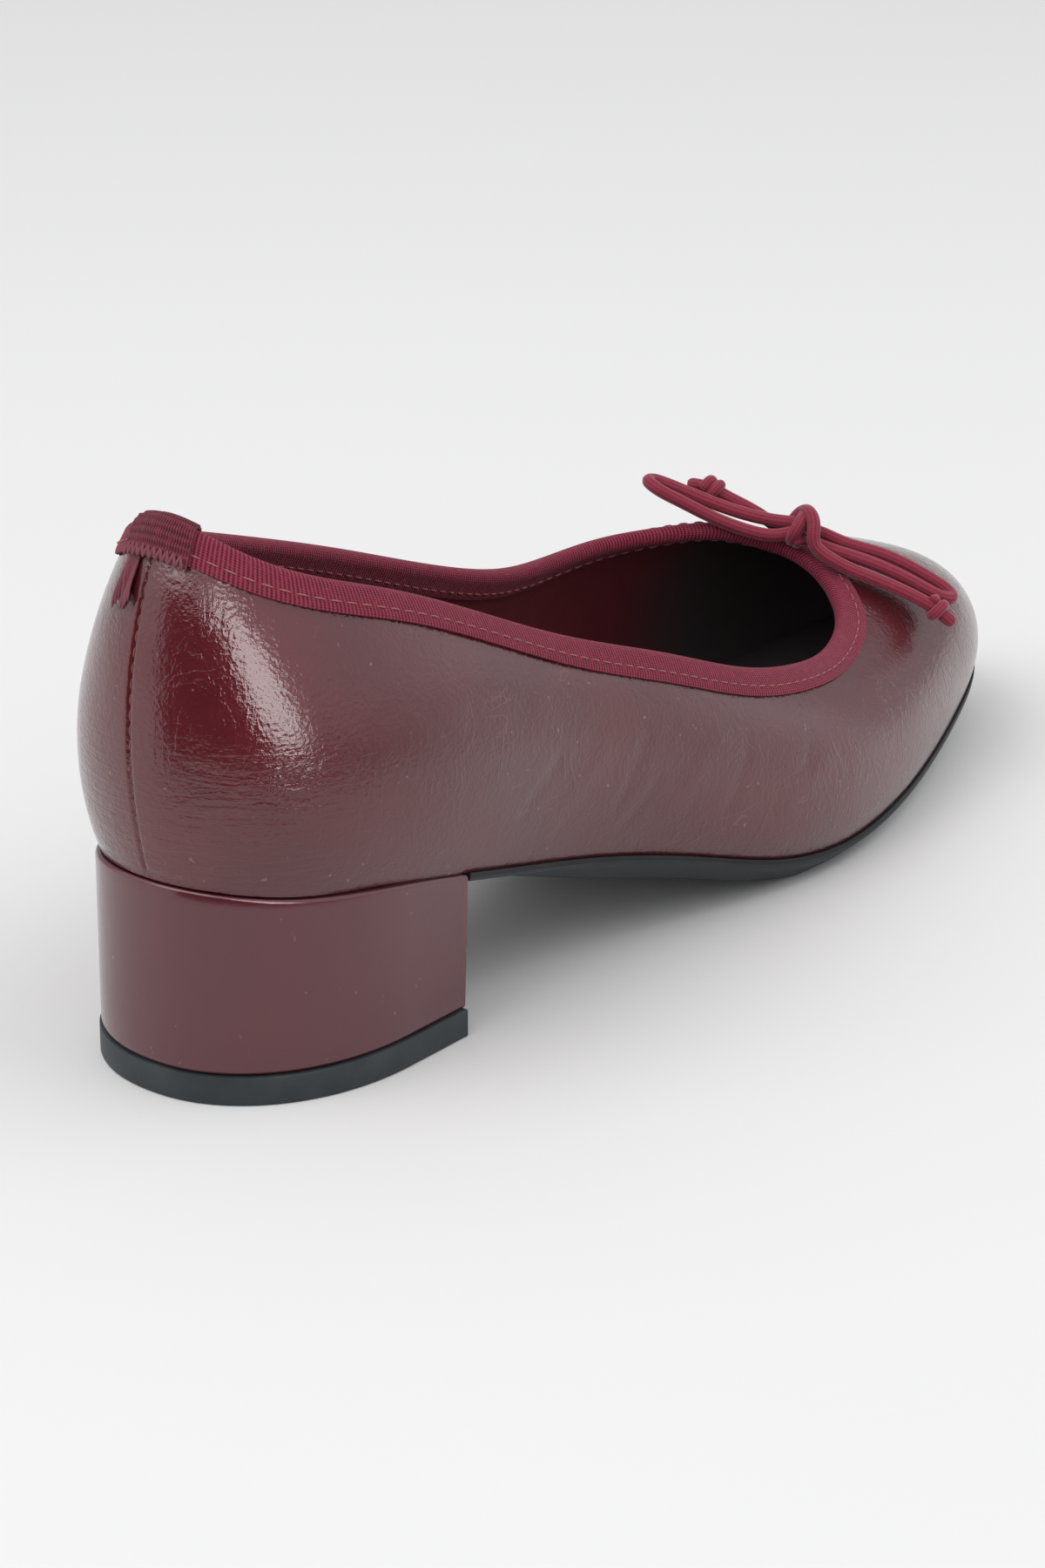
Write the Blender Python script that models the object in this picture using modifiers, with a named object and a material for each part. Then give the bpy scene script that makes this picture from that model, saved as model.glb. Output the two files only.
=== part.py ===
"""Right shoe of a pair of block heel pumps: a leather upper with a grosgrain binding, a cord bow, a ribbon
tab at the back, a rubber outsole and a leather-covered block heel with a rubber top piece.

Sizes are in millimetres and become metres where a mesh is made. Stations run along x from the back of the
heel to the toe, y is the inner side of the foot, and z is up from the floor.
"""

import math
from collections import namedtuple

import bmesh
import bpy
import numpy as np

MM = 0.001

# Sizes of the shoe
HEEL_WIDTH = 52.0
HEEL_LENGTH = 47.5
BREAST_LEAN = 0.9
TOP_PIECE_HEIGHT = 5.0
TOP_PIECE_PROUD = 0.3
WALL = 1.5
GAP = 0.3

# How the back of the heel rounds into its sides: length of the round and exponent of its curve
OUTER_ROUND = 33.0
OUTER_EXPONENT = 2.1
INNER_ROUND = 28.5
INNER_EXPONENT = 2.2

# The seat: height of the joint between the upper and what is under it, station by station
SeatRow = namedtuple("SeatRow", "station height")
SEAT = [
    SeatRow(-4.0, 37.6),
    SeatRow(10.0, 35.2),
    SeatRow(24.0, 33.5),
    SeatRow(42.0, 30.2),
    SeatRow(63.0, 25.0),
    SeatRow(88.0, 19.1),
    SeatRow(109.0, 13.0),
    SeatRow(129.0, 7.0),
    SeatRow(146.0, 4.8),
    SeatRow(164.0, 5.4),
    SeatRow(189.0, 7.4),
    SeatRow(217.0, 10.8),
    SeatRow(247.0, 15.0),
]
ARCH_LIFT = 2.5
ARCH_STATION = 76.0
ARCH_REACH = 22.0

# The upper: one rib a row, from its foot on the seat to its top edge, going round from the back seam by the
# outer side, the toe and the inner side. The top is the finished edge, over the binding. low_out and low_up
# bend the rib at its foot, high_out and high_up at its top, both outwards from the shoe and up.
Rib = namedtuple("Rib", "foot_x foot_y top_x top_y top_z low_out low_up high_out high_up")
RIBS = [
    Rib(0.8, 0.0, 7.5, 0.0, 94.0, 5.2, 19.6, 10.6, -17.8),
    Rib(5.0, -13.0, 11.5, -11.6, 89.8, 6.4, 18.2, 10.8, -17.0),
    Rib(18.0, -22.5, 22.5, -18.2, 84.3, 8.0, 16.5, 10.0, -16.0),
    Rib(42.0, -25.4, 42.0, -22.0, 76.9, 9.0, 15.5, 9.7, -15.5),
    Rib(69.0, -24.7, 72.0, -24.4, 63.2, 7.8, 12.8, 7.8, -12.8),
    Rib(97.0, -27.4, 98.5, -26.7, 53.1, 7.6, 11.0, 6.8, -11.9),
    Rib(122.0, -31.8, 122.0, -27.4, 43.9, 7.1, 10.0, 8.2, -11.0),
    Rib(144.0, -33.8, 143.0, -25.0, 38.2, 6.4, 10.0, 11.0, -8.7),
    Rib(166.0, -31.7, 160.0, -19.8, 35.3, 5.8, 10.0, 12.0, -6.0),
    Rib(188.0, -26.0, 173.5, -13.3, 35.4, 5.2, 10.0, 15.0, -4.0),
    Rib(210.0, -18.6, 181.0, -6.5, 37.6, 4.6, 10.5, 20.0, -3.5),
    Rib(230.0, -8.6, 184.3, 0.0, 40.3, 4.0, 11.5, 26.0, -3.0),
    Rib(242.0, 8.0, 184.5, 5.0, 42.7, 3.6, 12.5, 33.0, -3.8),
    Rib(232.5, 23.0, 182.3, 10.2, 44.8, 4.0, 11.5, 27.0, -3.2),
    Rib(214.0, 30.2, 177.5, 16.8, 46.4, 4.6, 10.5, 21.0, -4.0),
    Rib(192.0, 34.8, 168.5, 25.0, 46.2, 5.2, 10.0, 15.0, -6.0),
    Rib(170.0, 38.6, 156.5, 29.8, 46.3, 5.6, 10.0, 11.0, -8.0),
    Rib(147.0, 37.8, 140.5, 30.4, 46.9, 6.0, 10.0, 9.0, -10.0),
    Rib(122.0, 31.8, 121.5, 28.0, 50.6, 7.0, 11.0, 7.5, -11.5),
    Rib(97.0, 24.4, 97.5, 26.0, 58.8, 8.5, 13.0, 6.5, -12.0),
    Rib(69.0, 21.6, 71.5, 24.0, 68.6, 9.3, 14.0, 7.5, -13.0),
    Rib(42.0, 24.8, 42.0, 20.5, 78.9, 8.8, 15.5, 9.7, -15.0),
    Rib(18.0, 23.2, 22.5, 17.4, 85.6, 7.6, 16.5, 9.2, -16.0),
    Rib(5.0, 13.9, 12.0, 11.0, 90.2, 6.0, 18.2, 9.4, -17.0),
]
LOOP_STATIONS = 80
WALL_STEPS = 12

# The binding and the tab: how far they reach down the upper, and the ribbon's thickness
BINDING_DEPTH = 4.2
RIBBON = 0.6
TAB_WIDTH = 11.5
TAB_DEPTH = 4.9
TAIL_THICKNESS = 1.8
TAIL_ROW = -0.3
TAIL_DEPTHS = (5.4, 8.0, 10.6, 13.2)

# The insole and the outsole
INSOLE_THICKNESS = 2.0
SOLE_EDGE = 1.2
SOLE_LIP = 0.5
SOLE_BEVEL = 5.5
SOLE_DEPTH_AT_BREAST = 1.9
SOLE_DEPTH = 5.4
SOLE_DEPTH_STATION = 92.0
SOLE_STATIONS = 40

# The bow: its knot on the binding at the throat, and the routes of its cord measured from the knot, along
# the bow to the inner side, across it to the toe, and up
CORD = 2.5
KNOT_CENTRE = (185.6, 3.4, 47.2)
KNOT_HALF_SIZE = (3.6, 3.9, 3.7)
END_KNOT_HALF_SIZE = (2.6, 2.3, 2.3)
BOW_TURN = math.radians(27.0)
INNER_LOOP = [(4.0, -1.5, -1.4), (9.6, -1.6, -0.8), (16.4, -1.7, 1.5), (23.2, -1.7, 4.6), (26.4, -1.6, 6.1),
              (28.3, -0.9, 7.1), (28.9, 0.1, 7.4), (28.4, 1.1, 7.3), (26.5, 1.7, 6.7), (23.6, 1.7, 5.7),
              (16.9, 1.6, 3.3), (11.0, 1.5, 1.6), (4.0, 1.3, 0.5)]
OUTER_LOOP = [(-4.0, 1.4, -1.4), (-8.0, 1.5, -3.0), (-14.6, 1.6, -4.7), (-21.4, 1.7, -7.4), (-26.5, 1.6, -10.2),
              (-28.5, 1.0, -11.5), (-29.1, 0.0, -12.1), (-28.5, -1.0, -12.1), (-26.3, -1.6, -11.3),
              (-21.8, -1.7, -9.0), (-12.8, -1.6, -5.4), (-8.0, -1.5, -4.1), (-4.0, -1.4, -2.9)]
INNER_END = [(3.6, 3.2, -1.6), (7.5, 4.1, 0.3), (11.2, 4.4, 2.2), (14.6, 4.7, 3.7)]
OUTER_END = [(-3.4, -3.9, -2.0), (-5.6, -4.3, -4.0), (-8.5, -4.6, -5.5), (-13.5, -5.0, -7.3),
             (-19.0, -5.3, -9.2), (-24.0, -5.6, -11.3)]
INNER_END_KNOT = (17.6, 5.0, 5.0)
OUTER_END_KNOT = (-26.7, -5.7, -12.8)


def closed_spline(points):
    """A smooth closed curve through the points: a function of the row number, whole at each point."""
    points = np.array(points, float)
    count = len(points)
    matrix = 4.0 * np.eye(count)
    for row in range(count):
        matrix[row, row - 1] += 1.0
        matrix[row, (row + 1) % count] += 1.0
    second = np.roll(points, 1, 0) - 2.0 * points + np.roll(points, -1, 0)
    bends = np.linalg.solve(matrix, 6.0 * second)

    def at(row):
        row = np.asarray(row, float) % count
        low = np.floor(row).astype(int) % count
        high = (low + 1) % count
        b = (row - np.floor(row))[..., None]
        a = 1.0 - b
        chord = a * points[low] + b * points[high]
        return chord + ((a ** 3 - a) * bends[low] + (b ** 3 - b) * bends[high]) / 6.0

    return at


def open_spline(xs, ys):
    """A smooth curve y(x) through the rows of a table, level in bend at both ends."""
    xs = np.array(xs, float)
    ys = np.array(ys, float)
    count = len(xs)
    matrix = np.eye(count)
    right = np.zeros(count)
    step = np.diff(xs)
    for row in range(1, count - 1):
        matrix[row, row - 1:row + 2] = (step[row - 1], 2.0 * (step[row - 1] + step[row]), step[row])
        right[row] = 6.0 * ((ys[row + 1] - ys[row]) / step[row] - (ys[row] - ys[row - 1]) / step[row - 1])
    bends = np.linalg.solve(matrix, right)

    def at(x):
        x = np.clip(np.asarray(x, float), xs[0], xs[-1])
        low = np.clip(np.searchsorted(xs, x) - 1, 0, count - 2)
        h = step[low]
        b = (x - xs[low]) / h
        a = 1.0 - b
        bow = ((a ** 3 - a) * bends[low] + (b ** 3 - b) * bends[low + 1]) * h * h / 6.0
        return a * ys[low] + b * ys[low + 1] + bow

    return at


SEAT_LINE = open_spline([row.station for row in SEAT], [row.height for row in SEAT])


def seat_height(x, y):
    """Height of the seat at a place in plan: the seat line, lifted in the arch on the inner side."""
    inner = np.clip(np.asarray(y, float) / 20.0, 0.0, 1.0)
    arch = ARCH_LIFT * np.exp(-((np.asarray(x, float) - ARCH_STATION) / ARCH_REACH) ** 2)
    return SEAT_LINE(x) + arch * inner * inner * (3.0 - 2.0 * inner)


def rib_curves():
    """The four control curves of the upper's ribs, as functions of the row number."""
    plan = closed_spline([(rib.foot_x, rib.foot_y) for rib in RIBS])
    rows = np.arange(len(RIBS))
    run = plan(rows + 0.01) - plan(rows - 0.01)
    run /= np.linalg.norm(run, axis=1)[:, None]
    outward = np.stack([run[:, 1], -run[:, 0]], 1)
    feet, lows, highs, tops = [], [], [], []
    for rib, out in zip(RIBS, outward):
        foot = np.array([rib.foot_x, rib.foot_y, float(seat_height(rib.foot_x, rib.foot_y))])
        bend = np.array([*(out * rib.high_out), rib.high_up])
        finished = np.array([rib.top_x, rib.top_y, rib.top_z])
        feet.append(foot)
        lows.append(foot + np.array([*(out * rib.low_out), rib.low_up]))
        highs.append(finished + bend)
        tops.append(finished + bend / np.linalg.norm(bend) * (WALL * 0.5 + GAP + RIBBON))
    return [closed_spline(points) for points in (feet, lows, highs, tops)]


RIB_CURVES = rib_curves()


def upper_point(row, up):
    """A point of the upper's outer face: row goes round the shoe, up goes from the seat to the top edge."""
    row, up = np.broadcast_arrays(np.asarray(row, float), np.asarray(up, float))
    foot, low, high, top = (curve(row) for curve in RIB_CURVES)
    foot = foot.copy()
    foot[..., 2] = seat_height(foot[..., 0], foot[..., 1])
    b = up[..., None]
    a = 1.0 - b
    return a ** 3 * foot + 3.0 * a * a * b * low + 3.0 * a * b * b * high + b ** 3 * top


def upper_normal(row, up):
    """The outward unit normal of the upper's outer face."""
    up = np.asarray(up, float)
    round_step = upper_point(row + 0.01, up) - upper_point(row - 0.01, up)
    up_step = upper_point(row, up + 0.005) - upper_point(row, up - 0.005)
    normal = np.cross(round_step, up_step)
    return normal / np.linalg.norm(normal, axis=-1)[..., None]


def even_rows(count):
    """Row numbers that stand evenly round the shoe."""
    rows = np.linspace(0.0, len(RIBS), 2401)
    middle = upper_point(rows, 0.55)
    length = np.concatenate([[0.0], np.cumsum(np.linalg.norm(np.diff(middle, axis=0), axis=1))])
    return np.interp(np.linspace(0.0, length[-1], count, endpoint=False), length, rows)


def rise_at_depth(row, depth):
    """How far up its rib a point is that lies this far below the top edge, along the rib."""
    ups = np.linspace(1.0, 0.4, 121)
    points = upper_point(np.full(ups.shape, row), ups)
    below = np.concatenate([[0.0], np.cumsum(np.linalg.norm(np.diff(points, axis=0), axis=1))])
    return float(np.interp(depth, below, ups))


def seat_sides(grow):
    """The seat's outline, grown by some millimetres: its outer and inner side by station, and its two ends."""
    rows = np.linspace(0.0, len(RIBS), 4801)
    outline = upper_point(rows, 0.0)[:, :2]
    run = np.gradient(outline, axis=0)
    run /= np.linalg.norm(run, axis=1)[:, None]
    outline = outline + np.stack([run[:, 1], -run[:, 0]], 1) * grow
    tip = int(np.argmax(outline[:, 0]))
    outer = outline[:tip + 1]
    inner = outline[tip:][::-1]

    def outer_side(x):
        return np.interp(x, outer[:, 0], outer[:, 1])

    def inner_side(x):
        return np.interp(x, inner[:, 0], inner[:, 1])

    return outer_side, inner_side, (float(outline[0, 0]), float(outline[tip, 0]))


def make_material(name, colour, roughness):
    """A plain Principled material."""
    material = bpy.data.materials.new(name)
    material.use_nodes = True
    shader = material.node_tree.nodes["Principled BSDF"]
    shader.inputs["Base Color"].default_value = (*colour, 1.0)
    shader.inputs["Roughness"].default_value = roughness
    shader.inputs["Metallic"].default_value = 0.0
    material.diffuse_color = (*colour, 1.0)
    return material


def add_object(name, data, material, parent, collection):
    """Put a new object in the shoe's collection, under its empty."""
    data.materials.append(material)
    piece = bpy.data.objects.new(name, data)
    piece.parent = parent
    collection.objects.link(piece)
    return piece


def mesh_from(name, points, faces):
    """A mesh in metres from points in millimetres, with its faces turned outwards."""
    mesh = bpy.data.meshes.new(name)
    mesh.from_pydata([tuple(float(value) * MM for value in point) for point in points], [], faces)
    shape = bmesh.new()
    shape.from_mesh(mesh)
    bmesh.ops.recalc_face_normals(shape, faces=shape.faces)
    shape.to_mesh(mesh)
    shape.free()
    return mesh


def lofted_mesh(name, sections):
    """A closed solid through like-numbered sections, each a closed ring of points, with flat ends."""
    size = len(sections[0])
    points = [point for section in sections for point in section]
    faces = []
    for step in range(len(sections) - 1):
        first = step * size
        for side in range(size):
            after = (side + 1) % size
            faces.append((first + side, first + after, first + size + after, first + size + side))
    faces.append(tuple(range(size)))
    faces.append(tuple(range(len(points) - size, len(points))))
    return mesh_from(name, points, faces)


def upper_mesh():
    """The outer face of the upper as an open surface, which a Solidify modifier turns into a wall."""
    rows = even_rows(LOOP_STATIONS)
    ups = np.linspace(0.0, 1.0, WALL_STEPS + 1)
    points = [upper_point(row, up) for up in ups for row in rows]
    faces = []
    for step in range(WALL_STEPS):
        for side in range(LOOP_STATIONS):
            after = (side + 1) % LOOP_STATIONS
            low = step * LOOP_STATIONS
            faces.append((low + side, low + LOOP_STATIONS + side, low + LOOP_STATIONS + after, low + after))
    mesh = bpy.data.meshes.new("upper")
    mesh.from_pydata([tuple(float(value) * MM for value in point) for point in points], [], faces)
    middle = WALL_STEPS // 2 * LOOP_STATIONS
    outward = np.array(mesh.polygons[middle].normal)
    if outward @ upper_normal(rows[0], ups[WALL_STEPS // 2]) < 0.0:
        mesh.flip_normals()
    return mesh


def fold_paths(row, clear, thickness, depth):
    """A ribbon folded over the top edge at one row: its outer path and the path of its face on the wall."""
    paths = []
    top_rise = upper_point(row, 1.0) - upper_point(row, 0.98)
    rise = top_rise / np.linalg.norm(top_rise)
    ups = [rise_at_depth(row, depth), rise_at_depth(row, depth * 0.5), 1.0]
    for away in (clear + thickness, clear):
        path = [upper_point(row, up) + upper_normal(row, up) * away for up in ups]
        normal = upper_normal(row, 1.0)
        centre = upper_point(row, 1.0) - normal * (WALL * 0.5)
        for angle in (50.0, 90.0, 130.0):
            turn = math.radians(angle)
            path.append(centre + (normal * math.cos(turn) + rise * math.sin(turn)) * (WALL * 0.5 + away))
        for up in (1.0, ups[0]):
            path.append(upper_point(row, up) - upper_normal(row, up) * (WALL + away))
        paths.append(path)
    return paths


def folded_ribbon_mesh(name, rows, clear, thickness, depth, closed):
    """A ribbon folded over the top edge along the given rows, as a closed ring or a short strip."""
    sections = []
    for row in rows:
        outside, inside = fold_paths(row, clear, thickness, depth)
        sections.append(outside + inside[::-1])
    size = len(sections[0])
    count = len(sections)
    points = [point for section in sections for point in section]
    faces = []
    for step in range(count if closed else count - 1):
        here = step * size
        there = (step + 1) % count * size
        for side in range(size):
            after = (side + 1) % size
            faces.append((here + side, here + after, there + after, there + side))
    if not closed:
        for first in (0, (count - 1) * size):
            for side in range(size // 2 - 1):
                other = size - 1 - side
                faces.append((first + side, first + side + 1, first + other - 1, first + other))
    return mesh_from(name, points, faces)


def tab_rows():
    """Row numbers across the tab's width, centred on the back seam."""
    rows = np.linspace(-1.5, 1.5, 301)
    edge = upper_point(rows, 1.0)
    length = np.concatenate([[0.0], np.cumsum(np.linalg.norm(np.diff(edge, axis=0), axis=1))])
    length -= length[150]
    return np.interp(np.linspace(-TAB_WIDTH / 2.0, TAB_WIDTH / 2.0, 7), length, rows)


def tail_route():
    """The route of the ribbon end that hangs below the tab, on the upper's outer face."""
    away = TAIL_THICKNESS / 2.0 + GAP + 0.15
    ups = [rise_at_depth(TAIL_ROW, depth) for depth in TAIL_DEPTHS]
    return [upper_point(TAIL_ROW, up) + upper_normal(TAIL_ROW, up) * away for up in ups]


def plate_stations(first, last, count):
    """Stations between two ends, closer together towards both of them."""
    turn = np.linspace(0.0, math.pi, count)
    even = np.linspace(0.0, 1.0, count)
    return first + (last - first) * (0.65 * (1.0 - np.cos(turn)) / 2.0 + 0.35 * even)


def insole_mesh():
    """The insole: a thin board that follows the seat inside the upper."""
    outer_side, inner_side, ends = seat_sides(-(WALL + GAP + 0.4))
    sections = []
    for x in plate_stations(ends[0] + 0.3, ends[1] - 0.3, SOLE_STATIONS):
        across = np.linspace(outer_side(x), inner_side(x), 7)
        low = [(x, y, float(seat_height(x, y))) for y in across]
        high = [(x, y, z + INSOLE_THICKNESS) for x, y, z in low[::-1]]
        sections.append(low + high)
    return lofted_mesh("insole", sections)


def sole_depth(x):
    """How far the middle of the outsole lies below the seat: thin at the breast, full from the waist on."""
    run = np.clip((x - HEEL_LENGTH) / (SOLE_DEPTH_STATION - HEEL_LENGTH), 0.0, 1.0)
    return SOLE_DEPTH_AT_BREAST + (SOLE_DEPTH - SOLE_DEPTH_AT_BREAST) * run * run * (3.0 - 2.0 * run)


def outsole_mesh():
    """The outsole: a thin edge under the upper, a bevel, and a flat tread on the floor under the ball."""
    outer_side, inner_side, ends = seat_sides(SOLE_LIP)
    sections = []
    for x in plate_stations(HEEL_LENGTH + BREAST_LEAN + GAP, ends[1] - 0.2, SOLE_STATIONS):
        outer = outer_side(x)
        inner = inner_side(x)
        across = np.linspace(outer, inner, 7)
        top = [(x, y, float(seat_height(x, y)) - GAP) for y in across]
        floor = max(0.0, float(SEAT_LINE(x)) - float(sole_depth(x)))
        bevel = min(SOLE_BEVEL, (inner - outer) * 0.3)
        ring = list(top)
        for y, share in ((inner, 0.0), (inner - bevel * 0.45, 0.62), (inner - bevel, 1.0),
                         (outer + bevel, 1.0), (outer + bevel * 0.45, 0.62), (outer, 0.0)):
            edge = float(seat_height(x, y)) - GAP - SOLE_EDGE
            ring.append((x, y, max(0.0, edge + (floor - edge) * share)))
        sections.append(ring)
    return lofted_mesh("outsole", sections)


def heel_half_width(x, inner, grow):
    """Half the heel's width at a station, on its inner or outer side."""
    length = INNER_ROUND if inner else OUTER_ROUND
    exponent = INNER_EXPONENT if inner else OUTER_EXPONENT
    half = HEEL_WIDTH / 2.0 + grow
    reach = np.clip((length - x) / (length + grow), 0.0, 1.0)
    return half * (1.0 - reach ** exponent) ** (1.0 / exponent)


def heel_stations(first, last):
    """Stations of the heel, close together at its round back."""
    turn = np.linspace(0.0, math.pi / 2.0, 17)
    return first + (last - first) * (1.0 - np.cos(turn))


def heel_block_mesh():
    """The heel block: a D in plan, with a flat breast, under the sloping seat."""
    low = TOP_PIECE_HEIGHT + GAP
    sections = []
    for x in heel_stations(TOP_PIECE_PROUD + 0.05, HEEL_LENGTH - TOP_PIECE_PROUD):
        outer = -heel_half_width(x, False, -TOP_PIECE_PROUD)
        inner = heel_half_width(x, True, -TOP_PIECE_PROUD)
        across = np.linspace(outer, inner, 7)
        lean = BREAST_LEAN * x / HEEL_LENGTH
        ring = [(x, y, low) for y in across]
        for y in across[::-1]:
            high = float(seat_height(x + lean, 0.0)) - GAP
            ring.append((x + lean, y, high))
        sections.append(ring)
    return lofted_mesh("heel_block", sections)


def top_piece_mesh():
    """The rubber top piece: the heel's outline, a little proud of it, flat on the floor."""
    sections = []
    for x in heel_stations(0.05, HEEL_LENGTH):
        outer = -heel_half_width(x, False, 0.0)
        inner = heel_half_width(x, True, 0.0)
        sections.append([(x, outer, 0.0), (x, inner, 0.0), (x, inner, TOP_PIECE_HEIGHT),
                         (x, outer, TOP_PIECE_HEIGHT)])
    return lofted_mesh("heel_top_piece", sections)


def bow_place(along, across, up):
    """A place near the bow, given along it, across it and up, in the shoe's own stations."""
    along_step = np.array([-math.sin(BOW_TURN), math.cos(BOW_TURN), 0.0])
    across_step = np.array([math.cos(BOW_TURN), math.sin(BOW_TURN), 0.0])
    return np.array(KNOT_CENTRE) + along_step * along + across_step * across + np.array([0.0, 0.0, up])


def smooth_route(points, spacing):
    """Points read at an even spacing from a smooth curve through a route's own points."""
    points = np.array(points, float)
    chord = np.concatenate([[0.0], np.cumsum(np.linalg.norm(np.diff(points, axis=0), axis=1))])
    curves = [open_spline(chord, points[:, axis]) for axis in range(3)]
    count = max(4, int(round(chord[-1] / spacing)) + 1)
    return np.stack([curve(np.linspace(0.0, chord[-1], count)) for curve in curves], 1)


def cord_curve(name, points, diameter):
    """A round cord along a route, as a curve with closed ends."""
    curve = bpy.data.curves.new(name, "CURVE")
    curve.dimensions = "3D"
    curve.bevel_depth = diameter / 2.0 * MM
    curve.bevel_resolution = 2
    curve.use_fill_caps = True
    spline = curve.splines.new("POLY")
    spline.points.add(len(points) - 1)
    for point, place in zip(spline.points, points):
        point.co = (*(float(value) * MM for value in place), 1.0)
    return curve


def knot_mesh(name, centre, half_size):
    """A tied knot as a plain round solid, turned with the bow."""
    mesh = bpy.data.meshes.new(name)
    shape = bmesh.new()
    bmesh.ops.create_uvsphere(shape, u_segments=14, v_segments=9, radius=1.0)
    for vertex in shape.verts:
        along, across, up = (vertex.co[axis] * half_size[axis] for axis in range(3))
        place = bow_place(centre[0] + along, centre[1] + across, centre[2] + up)
        vertex.co = [float(value) * MM for value in place]
    shape.normal_update()
    bmesh.ops.recalc_face_normals(shape, faces=shape.faces)
    shape.to_mesh(mesh)
    shape.free()
    return mesh


def clear_scene():
    """Remove whatever the open file holds."""
    for piece in list(bpy.data.objects):
        bpy.data.objects.remove(piece, do_unlink=True)


def main():
    """Build the shoe."""
    clear_scene()
    collection = bpy.data.collections.new("block_heel_pump")
    bpy.context.scene.collection.children.link(collection)
    shoe = bpy.data.objects.new("shoe", None)
    shoe.location = (-HEEL_LENGTH / 2.0 * MM, 0.0, 0.0)
    collection.objects.link(shoe)

    leather = make_material("oxblood_leather", (0.11, 0.012, 0.017), 0.28)
    heel_leather = make_material("heel_leather", (0.10, 0.014, 0.019), 0.22)
    ribbon = make_material("grosgrain_ribbon", (0.17, 0.014, 0.035), 0.75)
    cord = make_material("bow_cord", (0.16, 0.012, 0.03), 0.7)
    sock = make_material("insole_sock", (0.05, 0.008, 0.01), 0.6)
    sole_rubber = make_material("sole_rubber", (0.045, 0.055, 0.062), 0.6)
    lift_rubber = make_material("lift_rubber", (0.04, 0.047, 0.052), 0.65)

    upper = add_object("upper", upper_mesh(), leather, shoe, collection)
    wall = upper.modifiers.new("wall", "SOLIDIFY")
    wall.thickness = WALL * MM
    wall.offset = -1.0
    wall.use_rim = True

    binding = folded_ribbon_mesh("topline_binding", even_rows(LOOP_STATIONS), GAP, RIBBON, BINDING_DEPTH, True)
    add_object("topline_binding", binding, ribbon, shoe, collection)
    tab_clear = GAP + RIBBON + GAP
    tab = folded_ribbon_mesh("heel_tab", tab_rows(), tab_clear, RIBBON, TAB_DEPTH, False)
    add_object("heel_tab", tab, ribbon, shoe, collection)
    tail = cord_curve("heel_tab_tail", tail_route(), TAIL_THICKNESS)
    add_object("heel_tab_tail", tail, ribbon, shoe, collection)

    add_object("insole", insole_mesh(), sock, shoe, collection)
    add_object("outsole", outsole_mesh(), sole_rubber, shoe, collection)
    add_object("heel_block", heel_block_mesh(), heel_leather, shoe, collection)
    add_object("heel_top_piece", top_piece_mesh(), lift_rubber, shoe, collection)

    routes = {"bow_loop_inner": INNER_LOOP, "bow_loop_outer": OUTER_LOOP,
              "bow_end_inner": INNER_END, "bow_end_outer": OUTER_END}
    for name, route in routes.items():
        points = smooth_route([bow_place(*place) for place in route], CORD * 2.0)
        add_object(name, cord_curve(name, points, CORD), cord, shoe, collection)
    knots = {"bow_knot": ((0.0, 0.0, 0.0), KNOT_HALF_SIZE),
             "bow_end_knot_inner": (INNER_END_KNOT, END_KNOT_HALF_SIZE),
             "bow_end_knot_outer": (OUTER_END_KNOT, END_KNOT_HALF_SIZE)}
    for name, (centre, half_size) in knots.items():
        add_object(name, knot_mesh(name, centre, half_size), cord, shoe, collection)


main()
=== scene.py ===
import math
from collections import namedtuple

import bmesh
import bpy
import numpy as np
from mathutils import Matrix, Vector


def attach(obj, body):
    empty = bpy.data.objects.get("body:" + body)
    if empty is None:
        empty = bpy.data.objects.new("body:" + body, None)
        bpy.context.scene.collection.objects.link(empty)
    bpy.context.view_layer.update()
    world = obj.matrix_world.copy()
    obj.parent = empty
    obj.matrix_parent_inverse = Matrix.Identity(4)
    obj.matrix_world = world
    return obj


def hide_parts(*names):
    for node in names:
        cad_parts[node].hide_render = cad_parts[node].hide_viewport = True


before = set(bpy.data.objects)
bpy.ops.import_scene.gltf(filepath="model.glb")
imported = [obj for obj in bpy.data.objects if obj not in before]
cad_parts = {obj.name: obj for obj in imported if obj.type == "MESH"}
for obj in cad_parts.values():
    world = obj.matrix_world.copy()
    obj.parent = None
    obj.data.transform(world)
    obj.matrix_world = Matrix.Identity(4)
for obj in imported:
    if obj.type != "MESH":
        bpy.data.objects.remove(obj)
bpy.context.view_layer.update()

# Sizes are in millimetres, in the shoe's own stations: x from the back of the heel to the toe, y to the inner
# side of the foot, z up from the floor. They become metres in the frame where a mesh is made. The camera, the
# studio and the places in materials are in metres of the frame.
MM = 0.001
BODY = "root"

# Sizes of the shoe
HEEL_WIDTH = 52.0
HEEL_LENGTH = 47.5
BREAST_LEAN = 0.9
TOP_PIECE_HEIGHT = 5.0
TOP_PIECE_PROUD = 0.3
WALL = 1.5
GAP = 0.3

# How the back of the heel rounds into its sides: length of the round and exponent of its curve
OUTER_ROUND = 33.0
OUTER_EXPONENT = 2.1
INNER_ROUND = 28.5
INNER_EXPONENT = 2.2

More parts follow.
